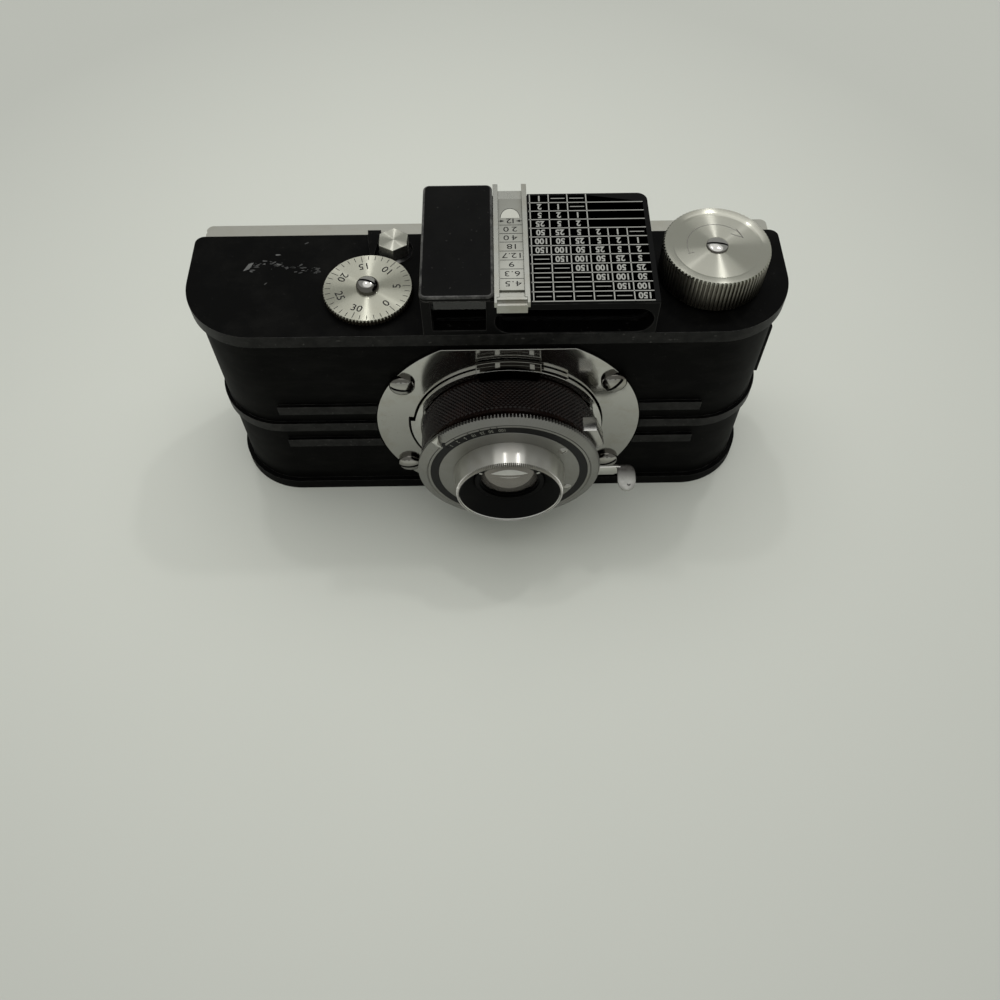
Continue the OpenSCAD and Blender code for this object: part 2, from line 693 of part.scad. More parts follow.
// folded channel on top of the finder, with a front tab bent down over the edge
module slide_channel() {
    y0 = front_y - 0.8;
    y1 = front_y + finder_d + 2;
    x0 = channel_x - channel_w / 2;
    tab_h = 1.7;
    color(bright) translate([0, 0, meter_top]) {
        translate([x0, y0, 0]) cube([channel_w, y1 - y0 - 1.2, channel_t]);
        for (x = [x0, x0 + channel_w - channel_t]) translate([x, y0, 0])
            cube([channel_t, y1 - y0, channel_h]);
        for (s = [0, 1]) translate([x0 + s * (channel_w - channel_t - 0.5), y0 + 1.6, channel_h - 0.35])
            cube([channel_t + 0.5, y1 - y0 - 1.6, 0.35]);
        translate([x0 + 0.5, y0, -tab_h]) cube([channel_w - 1, channel_t, tab_h + channel_t]);
        translate([x0 + channel_t, y0 + 1, 0]) cube([channel_w - 2 * channel_t, 0.8, channel_h - 0.2]);
    }
}

// moving strip, with a finger notch and a line between its figures
module slide_strip() {
    x0 = channel_x - strip_w / 2;
    y0 = front_y + 3;
    z0 = meter_top + channel_t + 0.02;
    color(satin) difference() {
        translate([x0, y0, z0]) cube([strip_w, strip_l, strip_t]);
        for (i = [1 : 8]) translate([x0 - over, y0 + i * 2.6, z0 + strip_t - 0.08])
            cube([strip_w + 2 * over, 0.15, 1]);
        translate([channel_x, y0 + 23.4, z0 + strip_t * 0.45]) cylinder(r = 1.7, h = 2);
    }
}

module counter_dial() {
    z0 = roof_z + 0.4;
    color(satin) translate([dial_x, dial_y, z0]) difference() {
        fluted(dial_r, 90, 0.25, dial_t);
        translate([0, 0, -over]) cylinder(r = 1.05, h = dial_t + 2 * over);
        for (i = [0 : dial_steps - 1]) rotate([0, 0, i * 360 / dial_steps])
            translate([dial_r - (i % 5 == 0 ? 2.2 : 1.5), -0.08, dial_t - 0.12]) cube([3, 0.16, 1]);
    }
}

module counter_screw() {
    color(bright) translate([dial_x, dial_y, roof_z + 0.4 + dial_t]) screw(2.5, 2.1, 1, 4, -15);
}

// shaft of the dial, with a wheel of one notch for each frame
module counter_wheel() {
    color(brass) translate([dial_x, dial_y, 0]) difference() {
        union() {
            translate([0, 0, gear_z0 + 0.3]) cylinder(r = 1.9, h = roof_z + 0.4 - gear_z0 - 0.3);
            translate([0, 0, wheel_z]) fluted(wheel_r, dial_steps, 0.5, wheel_t);
        }
        translate([0, 0, roof_z + 0.4 - 5]) cylinder(r = 1.05, h = 6);
    }
}

module film_release_button() {
    foot = 2.1;
    color(satin) translate([button_x, button_y, 0]) {
        translate([0, 0, roof_z + 0.05]) rotate([0, 0, 30])
            cylinder(r = button_w / 2 / cos(30), h = button_h - 0.05, $fn = 6);
        translate([0, 0, gear_z1 - foot]) cylinder(r = 1.6, h = roof_z + 0.1 - gear_z1 + foot);
    }
}

// cone washer that lifts the button
module button_spring() {
    z0 = roof_z - 1.6;
    color(bright) translate([button_x, button_y, z0]) rotate_extrude()
        polygon([[1.85, 1.4], [2.1, 1.4], [3.7, 0], [3.45, 0]]);
}

module wind_knob() {
    z0 = roof_z + 0.5;
    color(satin) translate([wind_x, axis_y, z0]) difference() {
        union() {
            cylinder(r = knob_r - 0.35, h = 1);
            translate([0, 0, 0.8]) fluted(knob_r, knob_flutes, 0.45, knob_h - 1.3);
            translate([0, 0, knob_h - 0.6]) cylinder(r = knob_r - 0.35, h = 0.6);
        }
        translate([0, 0, knob_h - 0.3]) cylinder(r = knob_r * 0.82, h = 1);
        translate([0, 0, -over]) cylinder(r = shaft_r + 0.03, h = knob_h - 2.4 + over);
        translate([0, 0, -over]) cylinder(r = 1.3, h = knob_h + 2 * over);
        // ring cut round the top, ending in an arrow
        translate([0, 0, knob_h - 0.42]) sector(6.4, 6.7, 30, 205, 1);
        translate([6.55 * cos(30), 6.55 * sin(30), knob_h - 0.42]) rotate([0, 0, 150])
            linear_extrude(1) polygon([[0, 0], [1.8, 0.9], [1.8, 0.6], [0.7, 0], [1.8, -0.6], [1.8, -0.9]]);
    }
}

module wind_knob_screw() {
    color(bright) translate([wind_x, axis_y, roof_z + 0.5 + knob_h - 0.3])
        screw(2.4, 0.8, 1.2, 7, -8);
}

module takeup_core() {
    z0 = chamber_z0 + run_gap;
    z1 = chamber_z1 - run_gap;
    top = roof_z + 0.5 + knob_h - 2.4;
    color(black) translate([wind_x, axis_y, 0]) difference() {
        union() {
            translate([0, 0, z0]) cylinder(r = core_r, h = z1 - z0);
            translate([0, 0, z1 - 0.5]) cylinder(r = shaft_r, h = top - z1 + 0.5);
            translate([0, 0, 2.5]) cylinder(r = 2, h = 4);
        }
        // slot that catches the end of the film
        translate([-core_r - over, -0.6, lens_z - film_w / 2]) cube([2 * core_r + 2 * over, 1.2, film_w]);
        translate([0, 0, top - 7.5]) cylinder(r = 1.22, h = 8);
    }
}

// flat flange pushed onto one end of the core
module takeup_flange(z) {
    color(black) translate([wind_x, axis_y, z]) ring(spool_r, core_r + spool_fit, spool_rim_t);
}

module takeup_flange_lower() {
    takeup_flange(chamber_z0 + run_gap);
}

module takeup_flange_upper() {
    takeup_flange(chamber_z1 - run_gap - spool_rim_t);
}

// drum with two rings of teeth, and the finger that drives the counter
module film_sprocket() {
    z0 = 6.5 + run_gap;
    z1 = gear_z0 - run_gap;
    color(satin) translate([sprocket_x, sprocket_y, 0]) {
        translate([0, 0, z0]) cylinder(r = 3.8, h = z1 - z0);
        translate([0, 0, 3.6]) cylinder(r = 1.5, h = gear_z1 + 1.6 - 3.6);
        for (s = [-1, 1]) translate([0, 0, lens_z + s * 14.1]) {
            translate([0, 0, -1.4]) cylinder(r = sprocket_r, h = 2.8);
            for (i = [0 : sprocket_teeth - 1]) rotate([0, 0, i * 360 / sprocket_teeth])
                translate([sprocket_r - 0.5, -0.7, -1]) cube([1.4, 1.4, 2]);
        }
        translate([0, 0, wheel_z]) difference() {
            cylinder(r = driver_r, h = wheel_t);
            for (a = [60 : 120 : 300]) rotate([0, 0, a]) translate([driver_r, 0, -over])
                cylinder(r = 1.1, h = wheel_t + 2 * over);
        }
    }
}

module rewind_knob() {
    color(satin) translate([cartridge_x, axis_y, 0.4]) difference() {
        fluted(rewind_r, 60, 0.4, rewind_h);
        translate([0, 0, -over]) cylinder(r = rewind_r * 0.7, h = over + 0.5);
        translate([0, 0, rewind_h - 1.2]) cylinder(r = 2.42, h = 3);
    }
}

module rewind_fork() {
    z0 = 0.4 + rewind_h - 1.15;
    color(bright) translate([cartridge_x, axis_y, 0]) {
        translate([0, 0, z0]) cylinder(r = 2.4, h = floor_t + 0.8 - z0);
        translate([0, 0, floor_t + run_gap]) cylinder(r = 4.5, h = 1.2);
        translate([-3.2, -0.8, floor_t + run_gap]) cube([6.4, 1.6, 5]);
    }
}

// metal back: a shallow tray with a bare rim, and the middle knuckle of its hinge
module back_plan(g = 0) {
    translate([-back_half + g, back_y0]) square([2 * (back_half - g), back_d - back_r]);
    translate([-back_half + back_r, back_y0]) square([2 * (back_half - back_r), back_d - g]);
    for (s = [-1, 1]) translate([s * (back_half - back_r), back_y1 - back_r]) intersection() {
        circle(back_r - g);
        translate([-back_r, 0]) square([2 * back_r, back_r]);
    }
}

module rear_cover() {
    edge = back_rim - 1.6;
    color(satin) difference() {
        union() {
            difference() {
                translate([0, 0, back_z0]) linear_extrude(back_z1 - back_z0) back_plan();
                translate([0, 0, back_z0 + back_t]) linear_extrude(back_z1 - back_z0 - 2 * back_t) {
                    back_plan(back_t);
                    translate([-back_half + back_t, back_y0 - over])
                        square([2 * (back_half - back_t), back_d - back_r + over]);
                }
                // places of the body's hinge lugs
                for (z = knuckle_z) translate([-back_half - over, back_y0 - over, z[0] - run_gap])
                    cube([over + hinge_x + back_half + hinge_r + 0.5, back_d + 2 * over,
                        z[1] - z[0] + 2 * run_gap]);
            }
            translate([hinge_x, hinge_y, knuckle_z[0][1] + run_gap])
                cylinder(r = hinge_r, h = knuckle_z[1][0] - knuckle_z[0][1] - 2 * run_gap);
        }
        translate([hinge_x, hinge_y, 0]) cylinder(r = hinge_pin_r + fit_gap, h = body_h);
        // shallow seat of the covering
        translate([-back_half + back_rim, back_y1 - skin_in, back_z0 + edge])
            cube([2 * (back_half - back_rim), over, back_z1 - back_z0 - 2 * edge]);
    }
}

module rear_panel() {
    edge = back_rim - 1.5;
    color(black) translate([0, back_y1 - skin_in + skin_t, 0]) rotate([90, 0, 0]) linear_extrude(skin_t)
        round_rect(-back_half + back_rim + 0.1, back_z0 + edge, back_half - back_rim - 0.1,
            back_z1 - edge, 1.5);
}

module pressure_plate() {
    w = gate_w + 4;
    color(black) translate([lens_x - w / 2, film_y + 0.25, lens_z - film_w / 2 + 0.3])
        cube([w, pressure_t, film_w - 0.6]);
}

// bowed leaf between the back and the pressure plate
module pressure_spring() {
    y0 = film_y + 0.25 + pressure_t;
    y1 = back_y1 - back_t;
    t = 0.3;
    color(bright) translate([0, 0, lens_z - 4]) linear_extrude(8) polygon([
        [lens_x - 15, y1], [lens_x - 10, y1], [lens_x - 9.6, y1 - t], [lens_x - 4, y0 + t],
        [lens_x + 4, y0 + t], [lens_x + 9.6, y1 - t], [lens_x + 10, y1], [lens_x + 15, y1],
        [lens_x + 15, y1 - t], [lens_x + 10.4, y1 - t], [lens_x + 4.2, y0],
        [lens_x - 4.2, y0], [lens_x - 10.4, y1 - t], [lens_x - 15, y1 - t]]);
}

module hinge_pin() {
    color(bright) translate([hinge_x, hinge_y, knuckle_z[0][0] - 0.4])
        cylinder(r = hinge_pin_r, h = knuckle_z[1][1] - knuckle_z[0][0] + 0.8);
}

// rocking plate at the end of the body, whose nose bears on the end of the back
module back_latch() {
    x0 = side_x + 0.3;
    nose_y = back_y0 + 2.6;
    color(black) difference() {
        union() {
            translate([x0, latch_y - 9.2, latch_z0]) cube([latch_t, nose_y - latch_y + 9.2, latch_h]);
            translate([back_half + 0.06, back_y0 + 0.5, latch_z0])
                cube([x0 + latch_t - back_half - 0.06, nose_y - back_y0 - 0.5, latch_h]);
            translate([latch_x, latch_y, latch_z0 + 4]) cylinder(r = 1.3, h = latch_h - 8);
            translate([latch_x, latch_y - 1.3, latch_z0 + 4]) cube([x0 - latch_x + 0.2, 2.6, latch_h - 8]);
        }
        translate([latch_x, latch_y, latch_z0 - over])
            cylinder(r = latch_pin_r + fit_gap, h = latch_h + 2 * over);
        for (i = [0 : 3]) translate([x0 + latch_t - 0.25, latch_y - 8.2 + i * 1.4, latch_z0 + 1.5])
            cube([1, 0.6, latch_h - 3]);
    }
}

module latch_pin() {
    color(bright) translate([latch_x, latch_y, latch_z0 - 2.5])
        cylinder(r = latch_pin_r, h = latch_h + 5);
}

// inner tube that slides in the mount and carries the whole lens
module lens_sleeve() {
    back_d = -(wall_in + collar_seat + run_gap + sleeve_flange_t);
    color(bright) on_lens(back_d) {
        ring(flange_r, sleeve_r - sleeve_wall, sleeve_flange_t);
        ring(sleeve_r, sleeve_r - sleeve_wall, case_d0 - 1.3 - back_d);
    }
}

// knurled ring: its front lip turns on the boss behind the shutter
module focus_ring() {
    tab_z = lens_travel + 1.2;
    color([0.13, 0.09, 0.08]) on_lens(focus_d0) difference() {
        union() {
            cylinder(r = focus_r, h = focus_l);
            // finger block on the right side
            translate([0, 0, tab_z]) linear_extrude(focus_l - 0.7 - tab_z)
                polygon([[14, 9], [16.9, 12], [20, 12], [22, 6.5], [21.2, 4.5], [18, 4.5]]);
        }
        translate([0, 0, -over]) cylinder(r = sleeve_r + fit_gap, h = focus_l - case_floor - 1.2 + over);
        translate([0, 0, -over]) cylinder(r = boss_r + fit_gap, h = focus_l + 2 * over);
        translate([0, 0, focus_l - case_floor - 0.1]) cylinder(r = case_r + 0.1, h = 2);
        for (d = [1.4 : 1.5 : focus_l - 1]) translate([0, 0, d]) ring(focus_r + over, focus_r - 0.15, 0.3);
    }
}

// case of the shutter: a cup with a bored boss behind it, pins, and posts for the front plate
module shutter_housing() {
    depth = face_d - band_t - case_d0;
    color(bright) on_lens(case_d0) {
        difference() {
            union() {
                cylinder(r = case_r, h = depth + band_t);
                translate([0, 0, -2.2]) cylinder(r = boss_r, h = 2.3);
            }
            translate([0, 0, case_floor]) cylinder(r = case_r - case_wall, h = 5);
            translate([0, 0, depth]) cylinder(r = scale_r, h = 5);
            translate([0, 0, -4]) cylinder(r = rear_glass_r + 0.05, h = 8);
            // opening for the release lever's arm
            translate([case_r - 3, -6, lever_d - case_d0 - 0.1]) cube([6, 6.4, lever_t + 0.2]);
        }
        for (s = [-1, 1]) translate([0, s * blade_pin, case_floor - 0.1])
            cylinder(r = 0.6, h = blade_d + 2 * blade_t - case_d0);
        translate([lever_hub[0], lever_hub[1], case_floor - 0.1]) cylinder(r = 0.7, h = lever_t + 0.3);
        for (a = plate_small_a) rotate([0, 0, a]) translate([plate_small_ring, 0, case_floor - 0.1])
            cylinder(r = 1.2, h = face_d - 0.5 - case_d0 - case_floor + 0.1);
    }
}

// knurled ring with the pointer, turned to set the speed
module speed_ring() {
    edge_h = 0.85;
    color(satin) on_lens(ring_d0) {
        difference() {
            union() {
                fluted(shutter_r, 120, 0.25, edge_h);
                translate([0, 0, edge_h - 0.05])
                    cylinder(r1 = shutter_r - 0.1, r2 = case_r + 0.3, h = face_d - ring_d0 - edge_h + 0.05);
            }
            translate([0, 0, -over]) cylinder(r = case_r + fit_gap, h = 6);
        }
        // pointer that reaches in over the scale
        rotate([0, 0, 143]) {
            translate([0, 0, face_d - ring_d0 + 0.05]) linear_extrude(0.35)
                polygon([[17.9, 0], [19.9, 0.9], [21, 0.9], [21, -0.9], [19.9, -0.9]]);
            translate([case_r + 0.15, -0.9, edge_h]) cube([1.6, 1.8, face_d - ring_d0 + 0.2 - edge_h]);
        }
    }
}

// black band with its speed marks, and a slot for the aperture tab
module scale_band() {
    color(black) on_lens(face_d - band_t) difference() {
        ring(scale_r - 0.02, front_plate_r + 0.05, band_t);
        for (a = [98.5, 103, 106.5, 110.5, 119.5, 122, 130.5, 141]) rotate([0, 0, a])
            translate([scale_r - 1, -0.07, band_t - 0.1]) cube([3, 0.14, 1]);
        translate([0, 0, -over]) sector(front_plate_r - over, scale_r - 0.5, 250, 300, 3);
    }
}

module front_plate() {
    color(satin) on_lens(face_d - 0.5) difference() {
        ring(front_plate_r, tube_r + 0.1, 0.6);
        for (a = plate_small_a) rotate([0, 0, a]) translate([plate_small_ring, 0, -over])
            cylinder(r = 0.6, h = 3);
    }
}

module front_plate_screws() {
    color(bright) for (i = [0 : 2]) on_lens(face_d + 0.1) rotate([0, 0, plate_small_a[i]])
        translate([plate_small_ring, 0, 0]) screw(1.15, 0.5, 0.5, 0.6, 40 * i);
}

// ring that opens and closes the iris, with a small tab out through the scale band
module aperture_ring() {
    color(bright) on_lens(face_d - 0.8) {
        ring(front_plate_r - 3.4, tube_r + 0.2, 0.22);
        sector(front_plate_r - 3.6, front_plate_r + 0.8, 272, 278, 0.22);
        sector(front_plate_r + 0.3, front_plate_r + 0.8, 272, 278, 1.5);
    }
}

// blades at full aperture, each a bent leaf on its own level
module iris_blades() {
    color(black) for (i = [0 : iris_blades_n - 1])
        on_lens(iris_d + 0.09 * i) rotate([0, 0, i * 360 / iris_blades_n])
            sector(aperture_r + 0.4, tube_r - 0.3, 0, 150, 0.05);
}

// leaf that covers half of the opening and swings on a pin
module shutter_blade(s, d) {
    leaf_r = aperture_r + 1;
    on_lens(d) difference() {
        union() {
            intersection() {
                cylinder(r = leaf_r, h = blade_t);
                translate([s > 0 ? -0.6 : 0.6 - 2 * leaf_r, -2 * leaf_r, -over])
                    cube([2 * leaf_r, 4 * leaf_r, blade_t + 2 * over]);
            }
            translate([s > 0 ? -0.6 : -2.6, s > 0 ? 0 : -blade_pin, 0]) cube([3.2, blade_pin, blade_t]);
            translate([0, s * blade_pin, 0]) cylinder(r = 1.9, h = blade_t);
        }
        translate([0, s * blade_pin, -over]) cylinder(r = 0.65, h = blade_t + 2 * over);
    }
}

module shutter_blade_upper() {
    color(black) shutter_blade(1, blade_d);
}

module shutter_blade_lower() {
    color(black) shutter_blade(-1, blade_d + blade_t + 0.05);
}

// lever with an arm out through the case and a finger pad bent to the front
module release_lever() {
    arm_w = 3.4;
    pad_x = 27.8;
    pad_r = 2.3;
    pad_l = 5.8;
    pad_t = 0.6;
    pad_y = lever_hub[1] + arm_w / 2 - 1.4;
    color(bright) on_lens(lever_d) difference() {
        union() {
            translate(lever_hub) cylinder(r = 1.6, h = lever_t);
            translate([lever_hub[0], lever_hub[1] - arm_w / 2, 0])
                cube([pad_x + pad_r - lever_hub[0], arm_w, lever_t]);
            // finger pad with a round end
            translate([pad_x - pad_r, pad_y - pad_t, 0]) cube([2 * pad_r, pad_t, pad_l - pad_r]);
            translate([pad_x, pad_y, pad_l - pad_r]) rotate([90, 0, 0]) cylinder(r = pad_r, h = pad_t);
        }
        translate([lever_hub[0], lever_hub[1], -over]) cylinder(r = 0.76, h = 3);
        translate([pad_x, pad_y - 3, pad_l - 1.4]) rotate([-90, 0, 0]) cylinder(r = 0.4, h = 5);
    }
}

// turned barrel with its conical mouth, and the short tube that holds it in the front plate
module lens_barrel() {
    d0 = face_d + 0.1;
    h = lens_reach - d0;
    mouth = lens_reach - recess_d;
    tube_d = iris_d + 0.6;
    color(satin) on_lens(0) difference() {
        union() {
            translate([0, 0, d0]) rotate_extrude() polygon([
                [0, 0], [barrel_r, 0], [barrel_r, 0.7], [rim_r, h - 0.8], [rim_r, h], [0, h]]);
            translate([0, 0, tube_d]) cylinder(r = tube_r, h = d0 - tube_d + 0.1);
        }
        translate([0, 0, recess_d]) rotate_extrude() polygon([
            [0, 0], [8.2, 0], [rim_r - 0.6, mouth - 0.4], [rim_r - 0.6, mouth + over], [0, mouth + over]]);
        translate([0, 0, tube_d - over]) cylinder(r = glass_r + 0.05, h = lens_reach);
    }
}

// screwed ring whose skirt presses on the edge of the glass, with two notches for a spanner
module lens_retaining_ring() {
    hole = glass_r - 0.3;
    color(satin) on_lens(recess_d) difference() {
        union() {
            ring(8.1, hole, 0.6);
            translate([0, 0, 0.04 - glass_set]) ring(glass_r, hole, glass_set);
        }
        for (a = [29, 151]) rotate([0, 0, a]) translate([7.1, -0.4, 0.3]) cube([1.4, 0.8, 1]);
    }
}

// front glass: a short cylinder under a strong dome that stands through the retaining ring
module front_lens() {
    dome = 2.4;
    edge = 1.4;
    dome_r = glass_r - 0.35;
    ball_r = (dome_r * dome_r + dome * dome) / (2 * dome);
    color(smoke) on_lens(recess_d - glass_set - edge) {
        cylinder(r = glass_r, h = edge);
        intersection() {
            translate([0, 0, edge - 0.05]) cylinder(r = dome_r, h = dome + 0.05);
            translate([0, 0, edge + dome - ball_r]) sphere(ball_r);
        }
    }
}

module rear_lens() {
    color(smoke) on_lens(case_d0 - 1.8) cylinder(r = rear_glass_r, h = 1.6);
}

body_shell();
tripod_bush();
film_gate();
face_plate();
face_plate_screws();
bayonet_collar();
finder_housing();
finder_cap();
finder_front_glass();
finder_eye_lens();
meter_window();
meter_step_wedge();
meter_eye_lens();
exposure_table();
slide_channel();
slide_strip();
counter_dial();
counter_screw();
counter_wheel();
film_release_button();
button_spring();
wind_knob();
wind_knob_screw();
takeup_core();
takeup_flange_lower();
takeup_flange_upper();
film_sprocket();
rewind_knob();
rewind_fork();
rear_cover();
rear_panel();
pressure_plate();
pressure_spring();
hinge_pin();
back_latch();
latch_pin();
lens_sleeve();
focus_ring();
shutter_housing();
speed_ring();
scale_band();
front_plate();
front_plate_screws();
aperture_ring();
iris_blades();
shutter_blade_upper();
shutter_blade_lower();
release_lever();
lens_barrel();
lens_retaining_ring();
front_lens();
rear_lens();
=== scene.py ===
"""Looks of a miniature camera for 35 mm film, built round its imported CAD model.

Sizes are given in millimetres in the tables below and turned into metres by MM. Places along
the depth are counted as f, the distance behind the front face of the body's flanges, or on the
lens as d, the distance in front of it. On the lens axis u points to the right and v up.
"""
import json
import math
import random

import bmesh
import bpy
from mathutils import Matrix, Vector

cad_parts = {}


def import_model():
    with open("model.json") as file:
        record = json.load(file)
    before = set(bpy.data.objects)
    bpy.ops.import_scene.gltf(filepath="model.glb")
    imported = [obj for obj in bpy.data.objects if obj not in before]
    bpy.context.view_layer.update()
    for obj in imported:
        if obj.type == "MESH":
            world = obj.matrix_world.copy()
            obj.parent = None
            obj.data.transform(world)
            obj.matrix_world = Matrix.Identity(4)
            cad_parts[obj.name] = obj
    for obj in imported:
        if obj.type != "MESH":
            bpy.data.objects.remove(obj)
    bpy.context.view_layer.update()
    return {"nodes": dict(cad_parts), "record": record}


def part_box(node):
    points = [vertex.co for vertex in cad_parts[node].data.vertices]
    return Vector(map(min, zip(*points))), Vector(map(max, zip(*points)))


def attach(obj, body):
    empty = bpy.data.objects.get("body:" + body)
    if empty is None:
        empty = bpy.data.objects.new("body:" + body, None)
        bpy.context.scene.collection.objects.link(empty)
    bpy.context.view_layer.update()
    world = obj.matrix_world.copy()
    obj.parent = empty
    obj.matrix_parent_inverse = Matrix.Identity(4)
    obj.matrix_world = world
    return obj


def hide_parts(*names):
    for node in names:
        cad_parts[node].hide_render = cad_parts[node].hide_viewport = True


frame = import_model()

MM = 0.001
TAU = 2 * math.pi
scene = bpy.context.scene
BODY_OF = {n: b for b, ns in frame["record"]["behaviour"]["bodies"].items() for n in ns}

# Places on the CAD model, in millimetres
FRONT_Y = -7.375                           # front face of the body's flanges
LENS_X, LENS_Z = 4.4, 27.0                 # axis of the lens
ROOF_Z = 60.3                              # the body's top
TABLE_Z = ROOF_Z + 9.6                     # top of the exposure table
WIND = (49.3, 16.7)                        # axis of the winding knob, as x and f
DIAL = (-26.0, 12.2)                       # axis of the counter dial, as x and f
RIM_BANDS = ((57.1, 60.2), (25.7, 28.3))   # heights of the upper flange and the long rib
RIB_FRONT, RIBS_LOW, RIBS_HIGH = -6.9, 18, 36  # the short ribs stand out past this y
TAB_INNER, TAB_HALF, TAB_FOOT = 22.8, 7.4, 21  # the collar's tab: radius, half width, height
PLATE_SCREW_RING = 29.3
PLATE_SCREWS = {34.8: 50, 145.8: -9, 211: 4, 329.2: 20}  # place on the ring: turn of the slot
# The flutes of the knob carry a painted shade that darkens towards its foot between these heights.
FLUTE_LOW, FLUTE_HIGH = 0.0618, 0.0690     # where the knob's flutes fade, in metres
# The finger plate carries a painted shade and reflection that runs between these places.
PAD_NEAR, PAD_FAR = -0.0197, -0.0222       # where the lever's finger plate fades, in metres

# How far thin marks reach into a surface and stand out of it
MARK_SINK, MARK_RISE = -0.1, 0.012

FONT_SCALE = 1.38  # size of the font whose numerals are 1 high

# Tones of what lies on a finish or wears through it
DUST = (0.1, 0.095, 0.085)
SPECK = (0.16, 0.155, 0.145)
# RUB_AND_EDGE_SHEEN is the grey of rubbed edges, which on the body is also a painted highlight
# along its rounded edges.
RUB_AND_EDGE_SHEEN = (0.17, 0.165, 0.155)
TARNISH = (0.35, 0.3, 0.2)
# A screw head's finishes: bright metal, darker metal as painted shade on faces that look one way,
# and black ink as painted shade in the slot.
SCREW_FINISHES = ("screw", "screw_painted_shade", "ink")


# ---------------------------------------------------------------- materials

class Nodes:
    """A small helper that builds a principled material out of nodes."""

    def __init__(self, name, color, rough, metal=0.0, **plain):
        self.mat = bpy.data.materials.new(name)
        self.mat.use_nodes = True
        self.tree = self.mat.node_tree
        self.bsdf = self.tree.nodes["Principled BSDF"]
        self.bsdf.inputs["Base Color"].default_value = (*color, 1)
        self.bsdf.inputs["Roughness"].default_value = rough
        self.bsdf.inputs["Metallic"].default_value = metal
        for key, value in plain.items():
            self.bsdf.inputs[key.replace("_", " ")].default_value = value
        self.tex = self.new("ShaderNodeTexCoord")

    def new(self, kind, **props):
        """A node of the given kind with its properties set."""
        node = self.tree.nodes.new(kind)
        for key, value in props.items():
            setattr(node, key, value)
        return node

    def link(self, a, b):
        self.tree.links.new(a, b)

    def noise(self, scale, detail=4.0, rough=0.6, stretch=None):
        """Noise in millimetres of the object's own space, one unit of scale a millimetre."""
        n = self.new("ShaderNodeTexNoise")
        n.inputs["Scale"].default_value = 1.0
        n.inputs["Detail"].default_value = detail
        n.inputs["Roughness"].default_value = rough
        m = self.new("ShaderNodeMapping")
        s = stretch or (1, 1, 1)
        m.inputs["Scale"].default_value = [1000 * k / scale for k in s]
        self.link(self.tex.outputs["Object"], m.inputs["Vector"])
        self.link(m.outputs["Vector"], n.inputs["Vector"])
        return n.outputs["Fac"]

    def ramp(self, fac, lo, hi):
        """From black at lo to white at hi."""
        r = self.new("ShaderNodeValToRGB")
        e = r.color_ramp.elements
        e[0].position, e[1].position = lo, hi
        e[0].color, e[1].color = (0, 0, 0, 1), (1, 1, 1, 1)
        self.link(fac, r.inputs["Fac"])
        return r.outputs["Color"]

    def math(self, op, a, b):
        """One calculation with two sockets or numbers."""
        m = self.new("ShaderNodeMath", operation=op)
        for socket, value in zip(m.inputs, (a, b)):
            if hasattr(value, "links"):
                self.link(value, socket)
            else:
                socket.default_value = value
        return m.outputs[0]

    def mix(self, fac, a, b):
        """A colour between a and b, each a socket or three numbers."""
        m = self.new("ShaderNodeMix", data_type="RGBA")
        if hasattr(fac, "links"):
            self.link(fac, m.inputs["Factor"])
        else:
            m.inputs["Factor"].default_value = fac
        for name, value in (("A", a), ("B", b)):
            socket = [s for s in m.inputs if s.name == name and s.type == "RGBA"][0]
            if hasattr(value, "links"):
                self.link(value, socket)
            else:
                socket.default_value = (*value, 1)
        return [s for s in m.outputs if s.type == "RGBA"][0]

    def base(self, socket):
        self.link(socket, self.bsdf.inputs["Base Color"])

    def roughness(self, fac, lo, hi):
        """Roughness that follows a pattern between two values."""
        r = self.new("ShaderNodeMapRange")
        r.inputs["To Min"].default_value, r.inputs["To Max"].default_value = lo, hi
        self.link(fac, r.inputs["Value"])
        self.link(r.outputs["Result"], self.bsdf.inputs["Roughness"])

    def bump(self, height, strength, distance):
        """Relief of a depth in millimetres, on top of what relief there is."""
        b = self.new("ShaderNodeBump")
        b.inputs["Strength"].default_value = strength
        b.inputs["Distance"].default_value = distance * MM
        self.link(height, b.inputs["Height"])
        old = self.bsdf.inputs["Normal"].links
        if old:
            self.link(old[0].from_socket, b.inputs["Normal"])
        self.link(b.outputs["Normal"], self.bsdf.inputs["Normal"])

    def turned(self, axis, strength):
        """Gloss of fine rings round an axis of the piece, as a lathe leaves them."""
        t = self.new("ShaderNodeTangent", direction_type="RADIAL", axis=axis)
        self.link(t.outputs[0], self.bsdf.inputs["Tangent"])
        self.bsdf.inputs["Anisotropic"].default_value = strength
        self.bsdf.inputs["Anisotropic Rotation"].default_value = 0.25


